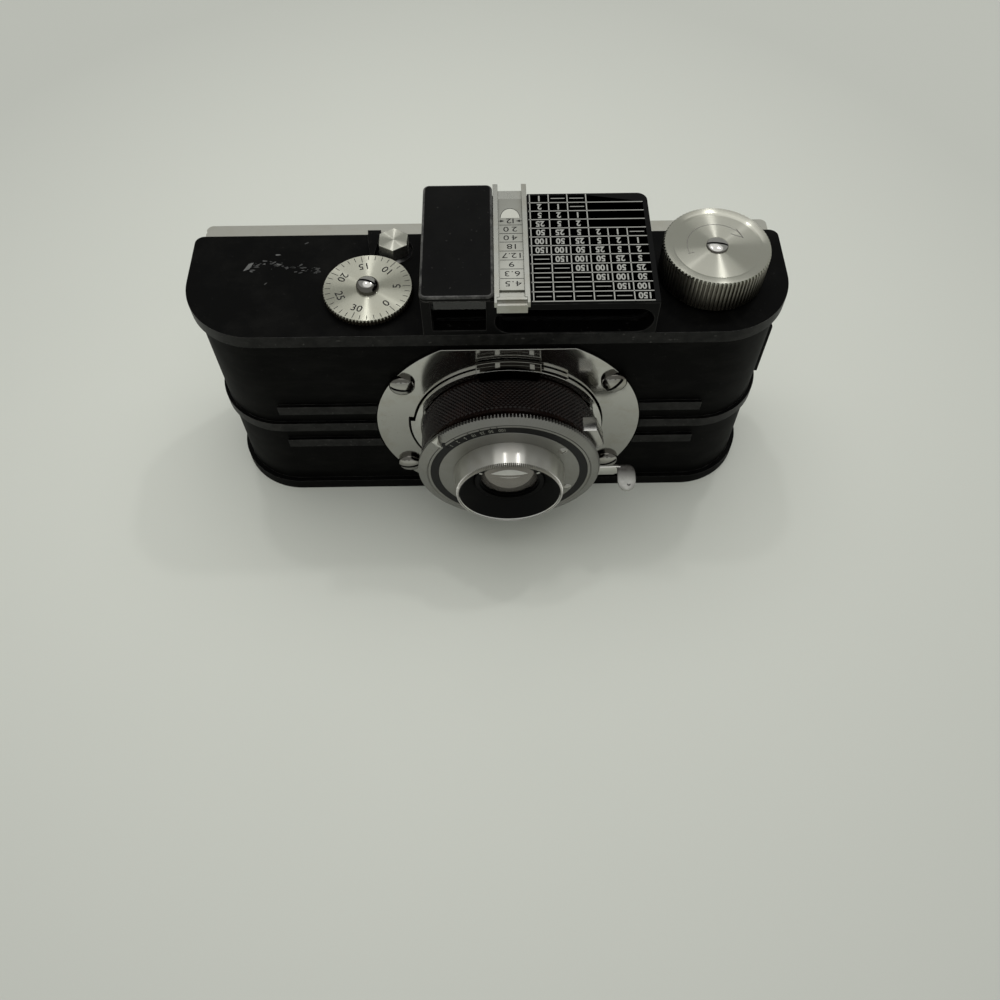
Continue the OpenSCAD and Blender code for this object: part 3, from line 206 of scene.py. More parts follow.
def black_mould(name, color, rough, dust, rubbed=0.0, grain=0.6, spec=0.05, speckle=12.0,
                streaks=None):
    """Black moulding or enamel: mottled and faintly dusty, or rubbed grey where it is an edge, a
    rub that on the body's edges is also a painted highlight.

    Dust lies in wide clouds, or in streaks along the body of the height that streaks gives.
    """
    n = Nodes(name, color, rough, Specular_IOR_Level=spec)
    spots = n.noise(7.0, 6)
    tone = n.mix(n.ramp(spots, 0.42, 0.75), color, [c * 1.5 + 0.0006 for c in color])
    if streaks:
        haze = n.math("MULTIPLY", n.ramp(n.noise(streaks, 6, 0.75, (0.3, 0.3, 1)), 0.47, 0.7), dust)
    else:
        haze = n.math("MULTIPLY", n.ramp(n.noise(22.0, 5, 0.65), 0.5, 0.78), dust)
    tone = n.mix(haze, tone, DUST)
    specks = n.math("MULTIPLY", n.ramp(n.noise(0.9, 1, 0.4), 0.72, 0.75),
                    min(1.0, dust * speckle))
    tone = n.mix(specks, tone, SPECK)
    if rubbed:
        rub = n.math("MULTIPLY", n.ramp(n.noise(2.6, 6, 0.7), 0.36, 0.66), rubbed)
        tone = n.mix(rub, tone, RUB_AND_EDGE_SHEEN)
    n.base(tone)
    n.roughness(spots, rough - 0.08, rough + 0.12)
    n.bump(n.noise(0.5, 3), grain, 0.012)
    n.bump(n.noise(3.0, 3), 0.25, 0.03)
    return n.mat


def metal(name, color, rough, axis=None, aniso=0.0, grime=0.15, stretch=None, scratch=0.1,
          even=False):
    """Bare metal with faint tarnish, pits and fine marks; turned if it has an axis."""
    n = Nodes(name, color, rough, 1.0)
    cloud = n.noise(6.0, 6, 0.65)
    dark = n.math("MULTIPLY", n.ramp(cloud, 0.5, 0.8), grime)
    tone = n.mix(dark, color, [c * t * 1.6 for c, t in zip(color, TARNISH)])
    pits = n.math("MULTIPLY", n.ramp(n.noise(0.6, 2), 0.7, 0.76), grime * 1.5)
    n.base(n.mix(pits, tone, [c * 0.35 for c in color]))
    if even:
        n.roughness(cloud, rough - 0.01, rough + 0.02)
    else:
        n.roughness(cloud, max(0.02, rough - 0.05), rough + 0.08)
    if axis:
        n.turned(axis, aniso)
    marks = n.noise(0.12, 3, 0.7, stretch) if stretch else n.noise(0.35, 4, 0.7)
    n.bump(marks, scratch, 0.006)
    return n.mat


def paint(name, color, rough, spread=0.15, spec=0.5):
    """Plain enamel or ink with a slight unevenness."""
    n = Nodes(name, color, rough, Specular_IOR_Level=spec)
    n.base(n.mix(n.ramp(n.noise(1.2, 4), 0.35, 0.8), color, [c * (1 - spread) for c in color]))
    n.bump(n.noise(0.4, 2), 0.2, 0.01)
    return n.mat


def glass(name, color, rough=0.01, clear=1.0, silvered=0.0):
    """Glass that may be partly clouded or partly reflecting; on the front lens the clouding and
    silvering are a painted reflection.
    """
    n = Nodes(name, color, rough, silvered, Transmission_Weight=clear, IOR=1.52)
    n.base(n.mix(n.ramp(n.noise(5.0, 4), 0.4, 0.7), color, [c * 0.9 for c in color]))
    n.bump(n.noise(9.0, 2), 0.02, 0.02)
    n.roughness(n.noise(4.0, 4), rough, rough + 0.05)
    return n.mat


M = {
    "wall": black_mould("moulding_wall", (0.0004, 0.0004, 0.0003), 0.58, 0.04, speckle=0.8,
                        streaks=4.0),
    # The body's edges: rubbed grey and glossy, worn and also a painted highlight along the rounded
    # edges.
    "wall_edge": black_mould("moulding_edge", (0.0026, 0.0025, 0.0023), 0.3, 0.02, 0.9, spec=0.75),
    "rim": black_mould("moulding_rim", (0.001, 0.001, 0.0009), 0.42, 0.02, 0.07, spec=0.12,
                       streaks=4.0),
    "top": black_mould("enamel_top", (0.0012, 0.0012, 0.0013), 0.36, 0.01, 0.0, 0.35, 0.05),
    "top_edge": black_mould("enamel_edge", (0.0018, 0.0018, 0.0018), 0.36, 0.015, 0.14, spec=0.1),
    "cap": black_mould("enamel_cap", (0.0012, 0.0012, 0.0012), 0.3, 0.03, 0.0, 0.5, 0.06,
                       speckle=4),
    "cap_edge": black_mould("cap_edge", (0.002, 0.002, 0.002), 0.26, 0.03, 0.6, 0.5, 0.3),
    "matt": black_mould("matt_black", (0.0012, 0.0012, 0.0012), 0.7, 0.005, 0.0, 0.3, 0.04),
    "plate": metal("plated_bright", (0.49, 0.485, 0.46), 0.11, grime=0.4, scratch=0.05),
    "polish": metal("polished_bright", (0.6, 0.595, 0.57), 0.06, grime=0.25, scratch=0.03),
    "lever": metal("lever_worn", (0.4, 0.395, 0.375), 0.24, grime=0.45, scratch=0.3),
    # Painted reflection: the tab is near black, as if its polish mirrored a dark ceiling.
    "tab": metal("tab_painted_dark_reflection", (0.03, 0.027, 0.024), 0.09, grime=0.3, scratch=0.08),
    # Painted shade and reflection on the faces of screw heads that look one way.
    "screw_painted_shade": metal("screw_painted_dark_reflection", (0.15, 0.143, 0.13), 0.13, grime=0.5, scratch=0.3),
    "screw": metal("screw_bright", (0.38, 0.372, 0.352), 0.13, grime=0.6, scratch=0.35),
    "dial": metal("dial_turned", (0.42, 0.415, 0.35), 0.205, "Z", 1.0, grime=0.12, scratch=0.03,
                  even=True),
    # Darker metal for the counter dial's side.
    "edge_dark": metal("dial_side_darker", (0.1, 0.085, 0.065), 0.42, grime=0.4),
    # Painted shade in the gaps between teeth.
    "valley": metal("tooth_gap_painted_shade", (0.05, 0.045, 0.038), 0.5, grime=0.4),
    "knob": metal("knob_turned", (0.43, 0.425, 0.37), 0.205, "Z", 1.0, grime=0.1, scratch=0.03,
                  even=True),
    "button": metal("button_turned", (0.44, 0.435, 0.38), 0.26, "Z", 1.0, grime=0.1,
                    scratch=0.03, even=True),
    "ring": metal("ring_satin", (0.25, 0.247, 0.233), 0.33, "Y", 0.6, grime=0.25),
    "barrel": metal("barrel_turned", (0.5, 0.49, 0.455), 0.29, "Y", 0.95, grime=0.25, even=True),
    "strip": metal("strip_satin", (0.37, 0.37, 0.335), 0.55, grime=0.2),
    "strip_pale": metal("strip_pale", (0.55, 0.55, 0.5), 0.55, grime=0.1),
    "channel": metal("channel_bright", (0.42, 0.42, 0.385), 0.27, grime=0.45,
                     stretch=(1, 0.06, 1), scratch=0.3),
    "back": metal("back_satin", (0.37, 0.365, 0.325), 0.36, grime=0.25, stretch=(0.05, 1, 1),
                  scratch=0.5),
    "brass": metal("brass_machined", (0.55, 0.4, 0.15), 0.3, "Z", 0.5, grime=0.3),
    "steel": metal("steel_bright", (0.5, 0.5, 0.5), 0.3, grime=0.3),
    "ink": paint("ink_black", (0.006, 0.006, 0.006), 0.5, spec=0.2),
    "table": paint("table_black", (0.0016, 0.0016, 0.0016), 0.42, spec=0.07),
    "band": paint("band_black", (0.004, 0.004, 0.0043), 0.35, spec=0.15),
    "white": paint("ink_white", (0.37, 0.37, 0.34), 0.5),
    "scuff": paint("scuff_grey", (0.05, 0.05, 0.048), 0.5, 0.6, 0.3),
    "scuff_light": paint("scuff_pale", (0.13, 0.13, 0.125), 0.5, 0.5, 0.3),
    # Painted highlight: the pale finish of the crescent laid on the front glass.
    "glint": paint("painted_lens_highlight", (0.72, 0.71, 0.67), 0.3),
    "knurl_tip": paint("knurl_tip", (0.028, 0.014, 0.01), 0.25, 0.6, 0.6),
    "cone": paint("cone_black", (0.0012, 0.0012, 0.0011), 0.5, spec=0.1),
    "glass": glass("lens_glass", (0.93, 0.95, 0.97)),
    # Painted reflection: the front glass is clouded grey and partly silvered to look as bright as
    # the lens elements behind it.
    "front_glass": glass("front_glass", (0.28, 0.26, 0.235), 0.05, 0.4, 0.42),
    # Painted shade: this glass is tinted near black, which darkens the finder and meter windows.
    "window": glass("window_glass", (0.06, 0.06, 0.06)),
}


def dark_ring_material():
    """Dark finish of the knurled ring, worn to brown in patches."""
    color = (0.0045, 0.0017, 0.001)
    n = Nodes("knurl_dark", color, 0.2, 0.0, Specular_IOR_Level=0.33)
    worn = n.math("MULTIPLY", n.ramp(n.noise(2.5, 5), 0.5, 0.72), 0.6)
    n.base(n.mix(worn, color, (0.02, 0.009, 0.006)))
    n.roughness(n.noise(5, 4), 0.14, 0.3)
    n.bump(n.noise(0.3, 2), 0.2, 0.01)
    return n.mat


def leather_material():
    """Pebbled covering of the back."""
    color = (0.012, 0.0115, 0.011)
    n = Nodes("covering_grain", color, 0.52, 0.0, Specular_IOR_Level=0.4)
    cells = n.new("ShaderNodeTexVoronoi", feature="DISTANCE_TO_EDGE")
    cells.inputs["Scale"].default_value = 1250
    n.link(n.tex.outputs["Object"], cells.inputs["Vector"])
    pebble = n.ramp(cells.outputs["Distance"], 0.0, 0.32)
    n.base(n.mix(n.math("MULTIPLY", n.ramp(n.noise(14, 5), 0.45, 0.8), 0.3),
                 color, (0.06, 0.058, 0.052)))
    n.bump(pebble, 0.9, 0.12)
    n.bump(n.noise(0.4, 3), 0.3, 0.02)
    n.roughness(n.noise(6, 4), 0.42, 0.64)
    return n.mat


def shaded_metal(name, axis, start, end, first, last, rough):
    """Metal whose tone runs from one place to another along an axis, in metres, as a painted shade,
    with worn patches over it.
    """
    n = Nodes(name, last, rough, 1.0)
    split = n.new("ShaderNodeSeparateXYZ")
    n.link(n.tex.outputs["Object"], split.inputs[0])
    span = n.new("ShaderNodeMapRange")
    span.inputs["From Min"].default_value, span.inputs["From Max"].default_value = start, end
    n.link(split.outputs[axis], span.inputs["Value"])
    tone = n.mix(span.outputs["Result"], first, last)
    worn = n.math("MULTIPLY", n.ramp(n.noise(0.9, 5, 0.7), 0.4, 0.75), 0.4)
    n.base(n.mix(worn, tone, [c * 0.4 for c in last]))
    n.roughness(n.noise(3.0, 4), rough - 0.06, rough + 0.1)
    n.bump(n.noise(0.35, 4, 0.7), 0.2, 0.006)
    return n.mat


def line_material():
    """Engraved line, greyed by dirt."""
    n = Nodes("engraved_line", (0.16, 0.155, 0.14), 0.5, 0.6)
    n.base(n.mix(n.ramp(n.noise(0.8, 3), 0.3, 0.7), (0.2, 0.19, 0.17), (0.09, 0.085, 0.08)))
    return n.mat


M.update({
    "dark_ring": dark_ring_material(),
    "leather": leather_material(),
    "knob_line": line_material(),
    # Painted shade: the flutes and their valleys darken towards the knob's foot, the valleys more.
    "flute": shaded_metal("knob_flutes", "Z", FLUTE_LOW, FLUTE_HIGH, (0.1, 0.09, 0.072),
                          (0.34, 0.326, 0.284), 0.36),
    "flute_valley": shaded_metal("knob_valleys", "Z", FLUTE_LOW, FLUTE_HIGH, (0.08, 0.07, 0.057),
                                 (0.3, 0.282, 0.24), 0.5),
    # Painted shade and reflection: dark where the plate faces up, pale towards its end.
    "pad": shaded_metal("pad_painted_shading", "Y", PAD_NEAR, PAD_FAR, (0.05, 0.047, 0.043),
                        (0.44, 0.435, 0.41), 0.5),
})


# ---------------------------------------------------------------- mesh helpers

def adopt(obj, node=None, body=None, mat=None):
    """Puts a new piece into the frame: its material, its body and the node it stands for."""
    if obj.name not in scene.collection.objects:
        scene.collection.objects.link(obj)
    if mat:
        obj.data.materials.clear()
        obj.data.materials.append(M[mat])
    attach(obj, body or BODY_OF[node])
    if node:
        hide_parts(node)
    return obj


def finish_mesh(me, angle=38):
    """Smooth shading with sharp edges above an angle in degrees."""
    me.shade_smooth()
    me.set_sharp_from_angle(angle=math.radians(angle))


def to_mesh(name, bm):
    """Turns bm into a mesh and frees it."""
    me = bpy.data.meshes.new(name)
    bm.to_mesh(me)
    bm.free()
    return me


def evaluated(obj):
    """A mesh of the object with its modifiers applied, or of a text."""
    return bpy.data.meshes.new_from_object(
        obj.evaluated_get(bpy.context.evaluated_depsgraph_get()))


def dress(node, mat, width, seg=2, angle=34, edge=None):
    """A copy of a CAD node with softly rounded edges, which may have a finish of their own."""
    bm = bmesh.new()
    bm.from_mesh(frame["nodes"][node].data)
    bmesh.ops.remove_doubles(bm, verts=bm.verts, dist=3e-6)
    bmesh.ops.dissolve_limit(bm, angle_limit=math.radians(0.7), verts=bm.verts, edges=bm.edges)
    me = to_mesh(node + "_shown", bm)
    obj = bpy.data.objects.new(node + "_shown", me)
    scene.collection.objects.link(obj)
    me.materials.append(M[mat])
    me.materials.append(M[edge or mat])
    for face in me.polygons:
        face.material_index = 0
    if width:
        b = obj.modifiers.new("edges", "BEVEL")
        b.width = width * MM
        b.segments = seg
        b.limit_method = "ANGLE"
        b.angle_limit = math.radians(angle)
        b.use_clamp_overlap = True
        b.miter_outer = "MITER_ARC"
        b.material = 1
        w = obj.modifiers.new("normals", "WEIGHTED_NORMAL")
        w.weight = 60
        w.keep_sharp = True
        me.shade_smooth()
        new = evaluated(obj)
        obj.modifiers.clear()
        obj.data = new
        new.name = node + "_shown"
    else:
        finish_mesh(me)
    return adopt(obj, node)


def sided(obj, mat, test, over_all=False):
    """Gives another finish to the faces whose middle, in millimetres, passes the test.

    Only faces of the first finish change, or all of them with over_all.
    """
    me = obj.data
    me.materials.append(M[mat])
    slot = len(me.materials) - 1
    for p in me.polygons:
        if (over_all or not p.material_index) and test(p.center / MM):
            p.material_index = slot


def on_lens(p):
    """(u, v, d) on the lens axis, in millimetres, to the frame in metres."""
    return Vector((LENS_X + p[0], FRONT_Y - p[2], LENS_Z + p[1])) * MM


def upright(cx, f, z=0.0):
    """A placing function for round parts that stand on the vertical axis at cx, f."""
    return lambda p: Vector((cx + p[0], FRONT_Y + f + p[1], z + p[2])) * MM


def revolve(name, profile, place, n=128, shape=None, angle=38):
    """Turns a closed profile of (radius, height) points; shape(i, k, r) may change a radius."""
    bm = bmesh.new()
    rows = []
    for k, (r, h) in enumerate(profile):
        row = []
        for i in range(n):
            a = TAU * i / n
            q = shape(i, k, r) if shape else r
            row.append(bm.verts.new(place((q * math.cos(a), q * math.sin(a), h))))
        rows.append(row)
    for a, b in zip(rows, rows[1:] + rows[:1]):
        for i in range(n):
            j = (i + 1) % n
            bm.faces.new((a[i], a[j], b[j], b[i]))
    return mesh_object(name, bm, angle)


def slab(bm, outline, z0, z1, place):
    """A thin plate between two heights, added to bm."""
    lo = [bm.verts.new(place((x, y, z0))) for x, y in outline]
    hi = [bm.verts.new(place((x, y, z1))) for x, y in outline]
    bm.faces.new(list(reversed(lo)))
    bm.faces.new(hi)
    for i in range(len(outline)):
        j = (i + 1) % len(outline)
        bm.faces.new((lo[i], lo[j], hi[j], hi[i]))


def rect(x0, y0, x1, y1):
    """Outline of a rectangle between two corners."""
    return [(x0, y0), (x1, y0), (x1, y1), (x0, y1)]


def polar(r, a):
    """A point at radius r and an angle in degrees."""
    return r * math.cos(math.radians(a)), r * math.sin(math.radians(a))


def arc_band(r0, r1, a0, a1, n=24):
    """Outline of a ring sector, its angles in degrees."""
    at = [math.radians(a0 + (a1 - a0) * i / n) for i in range(n + 1)]
    return ([(r0 * math.cos(a), r0 * math.sin(a)) for a in at]
            + [(r1 * math.cos(a), r1 * math.sin(a)) for a in reversed(at)])


def spoke(a, r0, r1, w):
    """Outline of a radial tick at an angle in degrees."""
    c, s = math.cos(math.radians(a)), math.sin(math.radians(a))
    return [(r * c - t * s, r * s + t * c) for r, t in
            ((r0, -w / 2), (r1, -w / 2), (r1, w / 2), (r0, w / 2))]


def mesh_object(name, bm, angle=38, bevel=0.0, seg=2):
    """Makes an object of bm, with its edges rounded by bevel millimetres."""
    bmesh.ops.recalc_face_normals(bm, faces=bm.faces)
    if bevel:
        bmesh.ops.bevel(bm, geom=[e for e in bm.edges if len(e.link_faces) == 2
                                  and e.calc_face_angle() > math.radians(30)],
                        offset=bevel * MM, segments=seg, profile=0.5, affect="EDGES",
                        clamp_overlap=True)
    me = to_mesh(name, bm)
    finish_mesh(me, angle)
    return bpy.data.objects.new(name, me)


def figures(name, items, place, z, size, width=1.0, bold=0.0, depth=0.02):
    """Numerals as thin raised shapes: items are (text, x, y, turn in degrees)."""
    bm = bmesh.new()
    for text, x, y, turn in items:
        cu = bpy.data.curves.new("t", "FONT")
        cu.body = text
        cu.align_x = "CENTER"
        cu.align_y = "CENTER"
        cu.size = size * FONT_SCALE
        cu.offset = bold
        cu.extrude = depth / 2
        cu.resolution_u = 3
        ob = bpy.data.objects.new("t", cu)
        scene.collection.objects.link(ob)
        me = evaluated(ob)
        c, s = math.cos(math.radians(turn)), math.sin(math.radians(turn))
        start = len(bm.verts)
        bm.from_mesh(me)
        bm.verts.ensure_lookup_table()
        mids = [v.co.copy() for v in bm.verts[start:]]
        mx = (min(p.x for p in mids) + max(p.x for p in mids)) / 2
        my = (min(p.y for p in mids) + max(p.y for p in mids)) / 2
        for v in bm.verts[start:]:
            px, py = (v.co.x - mx) * width, v.co.y - my
            v.co = place((x + px * c - py * s, y + px * s + py * c, z + v.co.z))
        bpy.data.objects.remove(ob)
        bpy.data.curves.remove(cu)
        bpy.data.meshes.remove(me)
    bmesh.ops.remove_doubles(bm, verts=bm.verts, dist=1e-7)
    return mesh_object(name, bm)


def roof(p):
    """x and f in millimetres with z, on the camera's top."""
    return Vector((p[0], FRONT_Y + p[1], p[2])) * MM


# ---------------------------------------------------------------- body, back and base

def on_rim(c):
    """True for the long raised bands and the short ribs of the body, which are rubbed smoother."""
    return (any(low < c.z < high for low, high in RIM_BANDS)
            or (c.y < RIB_FRONT and RIBS_LOW < c.z < RIBS_HIGH))


def on_tab(c):
    """True for the outer face of the tab at the top of the lens collar."""
    x, z = c.x - LENS_X, c.z - LENS_Z
    return z > TAB_FOOT and abs(x) < TAB_HALF and math.hypot(x, z) > TAB_INNER


# The dressed nodes: finish, width of the rounded edges in millimetres, segments across them,
# least angle of an edge that is rounded, and the finish of the edges where it differs
DRESSED = {
    "body_shell": ("wall", 0.35, 3, 34, "wall_edge"),
    "finder_housing": ("cap", 0.3, 2, 34, "top_edge"),
    "finder_cap": ("cap", 0.5, 3, 34, "cap_edge"),
    "rear_cover": ("back", 0.4, 3, 34, "polish"),
    "rear_panel": ("leather", 0.18, 2, 34),
    "back_latch": ("top", 0.25, 2, 34),
    "face_plate": ("plate", 0.12, 2, 34),
    "tripod_bush": ("brass", 0.15, 2, 34),
    "rewind_knob": ("knob", 0.1, 2, 34),
    "finder_front_glass": ("window", 0.0),
    "meter_window": ("window", 0.0),
    "finder_eye_lens": ("window", 0.12, 2, 32),
    "meter_eye_lens": ("window", 0.12, 2, 32),
    "film_release_button": ("button", 0.16, 2, 40),
    "slide_channel": ("channel", 0.22, 3, 34),
    "exposure_table": ("table", 0.12, 2, 34),
    "lens_sleeve": ("plate", 0.1, 2, 34),
    "bayonet_collar": ("polish", 0.25, 2, 34),
    "shutter_housing": ("ring", 0.06, 2, 34),
    "scale_band": ("band", 0.0),
    "front_plate": ("ring", 0.08, 2, 34),
    "front_plate_screws": ("screw", 0.06, 2, 30),
    "lens_retaining_ring": ("cone", 0.1, 2, 34),
    "film_sprocket": ("back", 0.08, 2, 34),
    "takeup_core": ("cap", 0.15, 2, 34),
    "takeup_flange_lower": ("cap", 0.15, 2, 34),
    "takeup_flange_upper": ("cap", 0.15, 2, 34),
}
dressed = {node: dress(node, *how) for node, how in DRESSED.items()}
sided(dressed["body_shell"], "rim", on_rim)
# Painted reflection: the tab's outer face takes the near-black finish.
sided(dressed["bayonet_collar"], "tab", on_tab)

# CAD nodes that stay as they are and only get a finish
for finish, nodes in {
        "matt": ("film_gate", "pressure_plate", "iris_blades", "shutter_blade_upper",
                 "shutter_blade_lower", "meter_step_wedge"),
        "steel": ("pressure_spring", "hinge_pin", "latch_pin", "button_spring", "rewind_fork",
                  "aperture_ring"),
        "brass": ("counter_wheel",),
        "glass": ("rear_lens",)}.items():
    for node in nodes:
        data = frame["nodes"][node].data
        if not data.materials:
            data.materials.append(M[finish])
        for i in range(len(data.materials)):
            data.materials[i] = M[finish]


def slotted_head(name, place, r, low, high, turn, wide, deep, dark, side=0.3):
    """A domed screw head with a slot cut in it; dark says which way the faces look that get a
    painted shade, and the slot is inked black as painted shade.
    """
    steps = 12
    edge = low + (high - low) * side
    arc = [math.pi / 2 * i / steps for i in range(1, steps)]
    profile = [(0.02, low), (r, low), (r, edge)]
    profile += [(r * math.cos(t), edge + (high - edge) * math.sin(t)) for t in arc]
    obj = revolve(name, profile + [(0.02, high)], place, 72)
    bm = bmesh.new()
    slab(bm, spoke(turn, -r - 1, r + 1, wide), high - deep, high + 1, place)
    cutter = mesh_object(name + "_cutter", bm)
    for ob in (obj, cutter):
        scene.collection.objects.link(ob)
        for key in SCREW_FINISHES:
            ob.data.materials.append(M[key])
    # Painted shade: the slot's walls and floor, left by the cutter, take the black ink.
    for p in cutter.data.polygons:
        p.material_index = 2
    cut = obj.modifiers.new("slot", "BOOLEAN")
    cut.operation = "DIFFERENCE"
    cut.solver = "EXACT"
    cut.object = cutter
    me = evaluated(obj)
    obj.modifiers.clear()
    obj.data = me
    bpy.data.objects.remove(cutter)
    for p in me.polygons:
        if p.material_index == 0 and dark(p.normal):
            p.material_index = 1
    finish_mesh(me, 30)
    return obj


def screw_heads():
    """The four screws of the face plate in one piece, and the screws on the dial and the knob."""
    top_d = FRONT_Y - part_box("face_plate_screws")[0].y / MM
    bm = bmesh.new()
    for a, turn in PLATE_SCREWS.items():
        u, v = polar(PLATE_SCREW_RING, a)
        # Painted reflection: the upper part of each dome is darker, as if it mirrored a dark
        # ceiling.
        head = slotted_head("head", lambda p: on_lens((u + p[0], v + p[1], p[2])), r=2.95,
                            low=top_d - 1.4, high=top_d + 0.75, turn=turn, wide=0.75, deep=0.8,
                            dark=lambda n: n.z > 0.5)
        bm.from_mesh(head.data)
        bpy.data.objects.remove(head)
    me = to_mesh("face_plate_screw_heads", bm)
    for key in SCREW_FINISHES:
        me.materials.append(M[key])
    finish_mesh(me, 30)
    adopt(bpy.data.objects.new("face_plate_screw_heads", me), "face_plate_screws")
    # Painted shade: the sides of these heads are darker than their tops.
    adopt(slotted_head("counter_screw_head", upright(*DIAL, ROOF_Z), r=2.5, low=1.98, high=4.1,
                       turn=-19, wide=0.55, deep=0.8, dark=lambda n: n.z < 0.8, side=0.2),
          "counter_screw")
    adopt(slotted_head("wind_screw_head", upright(*WIND, ROOF_Z), r=2.35, low=8.35, high=9.2,
                       turn=-8, wide=0.5, deep=0.5, dark=lambda n: n.z < 0.8, side=0.2),
          "wind_knob_screw")


def tab_lines():
    """Turned lines and rubbed edges on the tab that shows where the lens locks, and three polished
    spots on it that are painted highlights.
    """
    foot, line, spot = 24.85, 24.93, 24.96
    bm = bmesh.new()
    for d, wide in ((0.5, 0.12), (1.5, 0.05), (2.68, 0.16)):
        slab(bm, arc_band(foot, line, 73.6, 106.4), d, d + wide, on_lens)
    for a in (73.3, 106.4):
        slab(bm, arc_band(foot, line, a, a + 0.3, 2), 0.5, 2.84, on_lens)
    # Painted highlights: three polished spots where the lamps would shine on the tab.
    for a0, a1, d0, d1 in ((94.4, 96.8, 0.75, 2.3), (76.8, 79.2, 0.95, 2.3),
                           (104.8, 106.4, 2.0, 2.7)):
        slab(bm, arc_band(foot, spot, a0, a1, 4), d0, d1, on_lens)
    adopt(mesh_object("bayonet_tab_lines", bm), body="camera_body",
          mat="polish")


def scuffs():
    """Rubbed and chipped spots in the enamel of the roof, left of the counter."""
    draw = random.Random(5)
    top = lambda p: roof((p[0], p[1], ROOF_Z + p[2]))
    light, dull = bmesh.new(), bmesh.new()
    slab(light, [(-54.4, 19.4), (-53.1, 20.0), (-52.3, 22.0), (-53.4, 21.6)], -0.05, 0.012, top)
    spots = [(-47.1, 24.3, 0.5), (-41.0, 27.9, 0.4), (-49.0, 15.5, 0.35), (-37.8, 19.0, 0.5),
             (-38.3, 18.7, 0.3)]
    for _ in range(54):
        x = -53 + 15.5 * draw.random()
        f = 21.4 - 0.16 * abs(x + 50) + draw.gauss(0, 0.75)
        spots.append((x, f, 0.12 + 0.5 * draw.random() ** 2))
    for i, (x, f, size) in enumerate(spots):
        lean = math.radians(draw.uniform(-15, 50))
        pts = []
        for k in range(6):
            a = TAU * k / 6
            r = size * draw.uniform(0.5, 1.1)
            px, py = 1.5 * r * math.cos(a), 0.5 * r * math.sin(a)
            pts.append((x + px * math.cos(lean) - py * math.sin(lean),
                        f + px * math.sin(lean) + py * math.cos(lean)))
        slab(light if i % 7 == 0 else dull, pts, -0.05, 0.01, top)
    for name, bm, finish in (("roof_chips", light, "scuff_light"), ("roof_scuffs", dull, "scuff")):
        adopt(mesh_object(name, bm), body="camera_body", mat=finish)


screw_heads()
tab_lines()
scuffs()


# ---------------------------------------------------------------- knurled focusing ring

def focus_ring():
    """The ring's body with a groove at either end, and a field of cut diamonds round it."""
    r, deep, low, high = 20.75, 0.36, 1.0, 9.9
    count, rows, flat = 125, 9, 0.12
    core = r - deep
    foot = core - 0.01
    profile = [(19.5, 0.25), (20.1, 0.12), (20.6, 0.35), (20.6, 0.85), (core, 0.95),
               (core, 9.95), (20.6, 10.05), (20.6, 10.6), (20.2, 10.85), (19.2, 10.9),
               (19.2, 10.4), (11.7, 10.3), (11.7, 9.3), (19.5, 9.3)]
    adopt(revolve("focus_ring_body", profile, on_lens, 160), "focus_ring", mat="dark_ring")
    bm = bmesh.new()
    pitch = (high - low) / rows

    def at(i, h, q):
        a = TAU * i / count
        return bm.verts.new(on_lens((q * math.cos(a), q * math.sin(a), h)))
    for k in range(2 * rows - 1):
        for i in range(count):
            c = i + 0.5 * (k % 2)
            h = low + pitch * (k + 1) / 2
            ring = [at(c - 0.5, h, foot), at(c, h - pitch / 2, foot),
                    at(c + 0.5, h, foot), at(c, h + pitch / 2, foot)]
            top = [at(c - flat, h, r), at(c, h - pitch * flat, r),
                   at(c + flat, h, r), at(c, h + pitch * flat, r)]
            bm.faces.new(top)
            for j in range(4):
                bm.faces.new((ring[j], ring[(j + 1) % 4], top[(j + 1) % 4], top[j]))
    knurl = adopt(mesh_object("focus_ring_knurl", bm, 5), body="focusing",
                  mat="dark_ring")
    knurl.data.materials.append(M["knurl_tip"])
    for p in knurl.data.polygons:  # the first of a diamond's five faces is its tip
        p.material_index = int(p.index % 5 == 0)
    block = [(15.6, 11), (16.9, 12), (20, 12), (22, 6.5), (21.2, 4.5), (18.5, 5.5)]
    bm = bmesh.new()
    slab(bm, block, 6.3, 10.2, on_lens)
    adopt(mesh_object("focus_ring_block", bm, 30, 0.3), body="focusing",
          mat="lever")


focus_ring()


# ---------------------------------------------------------------- speed ring, scale and barrel

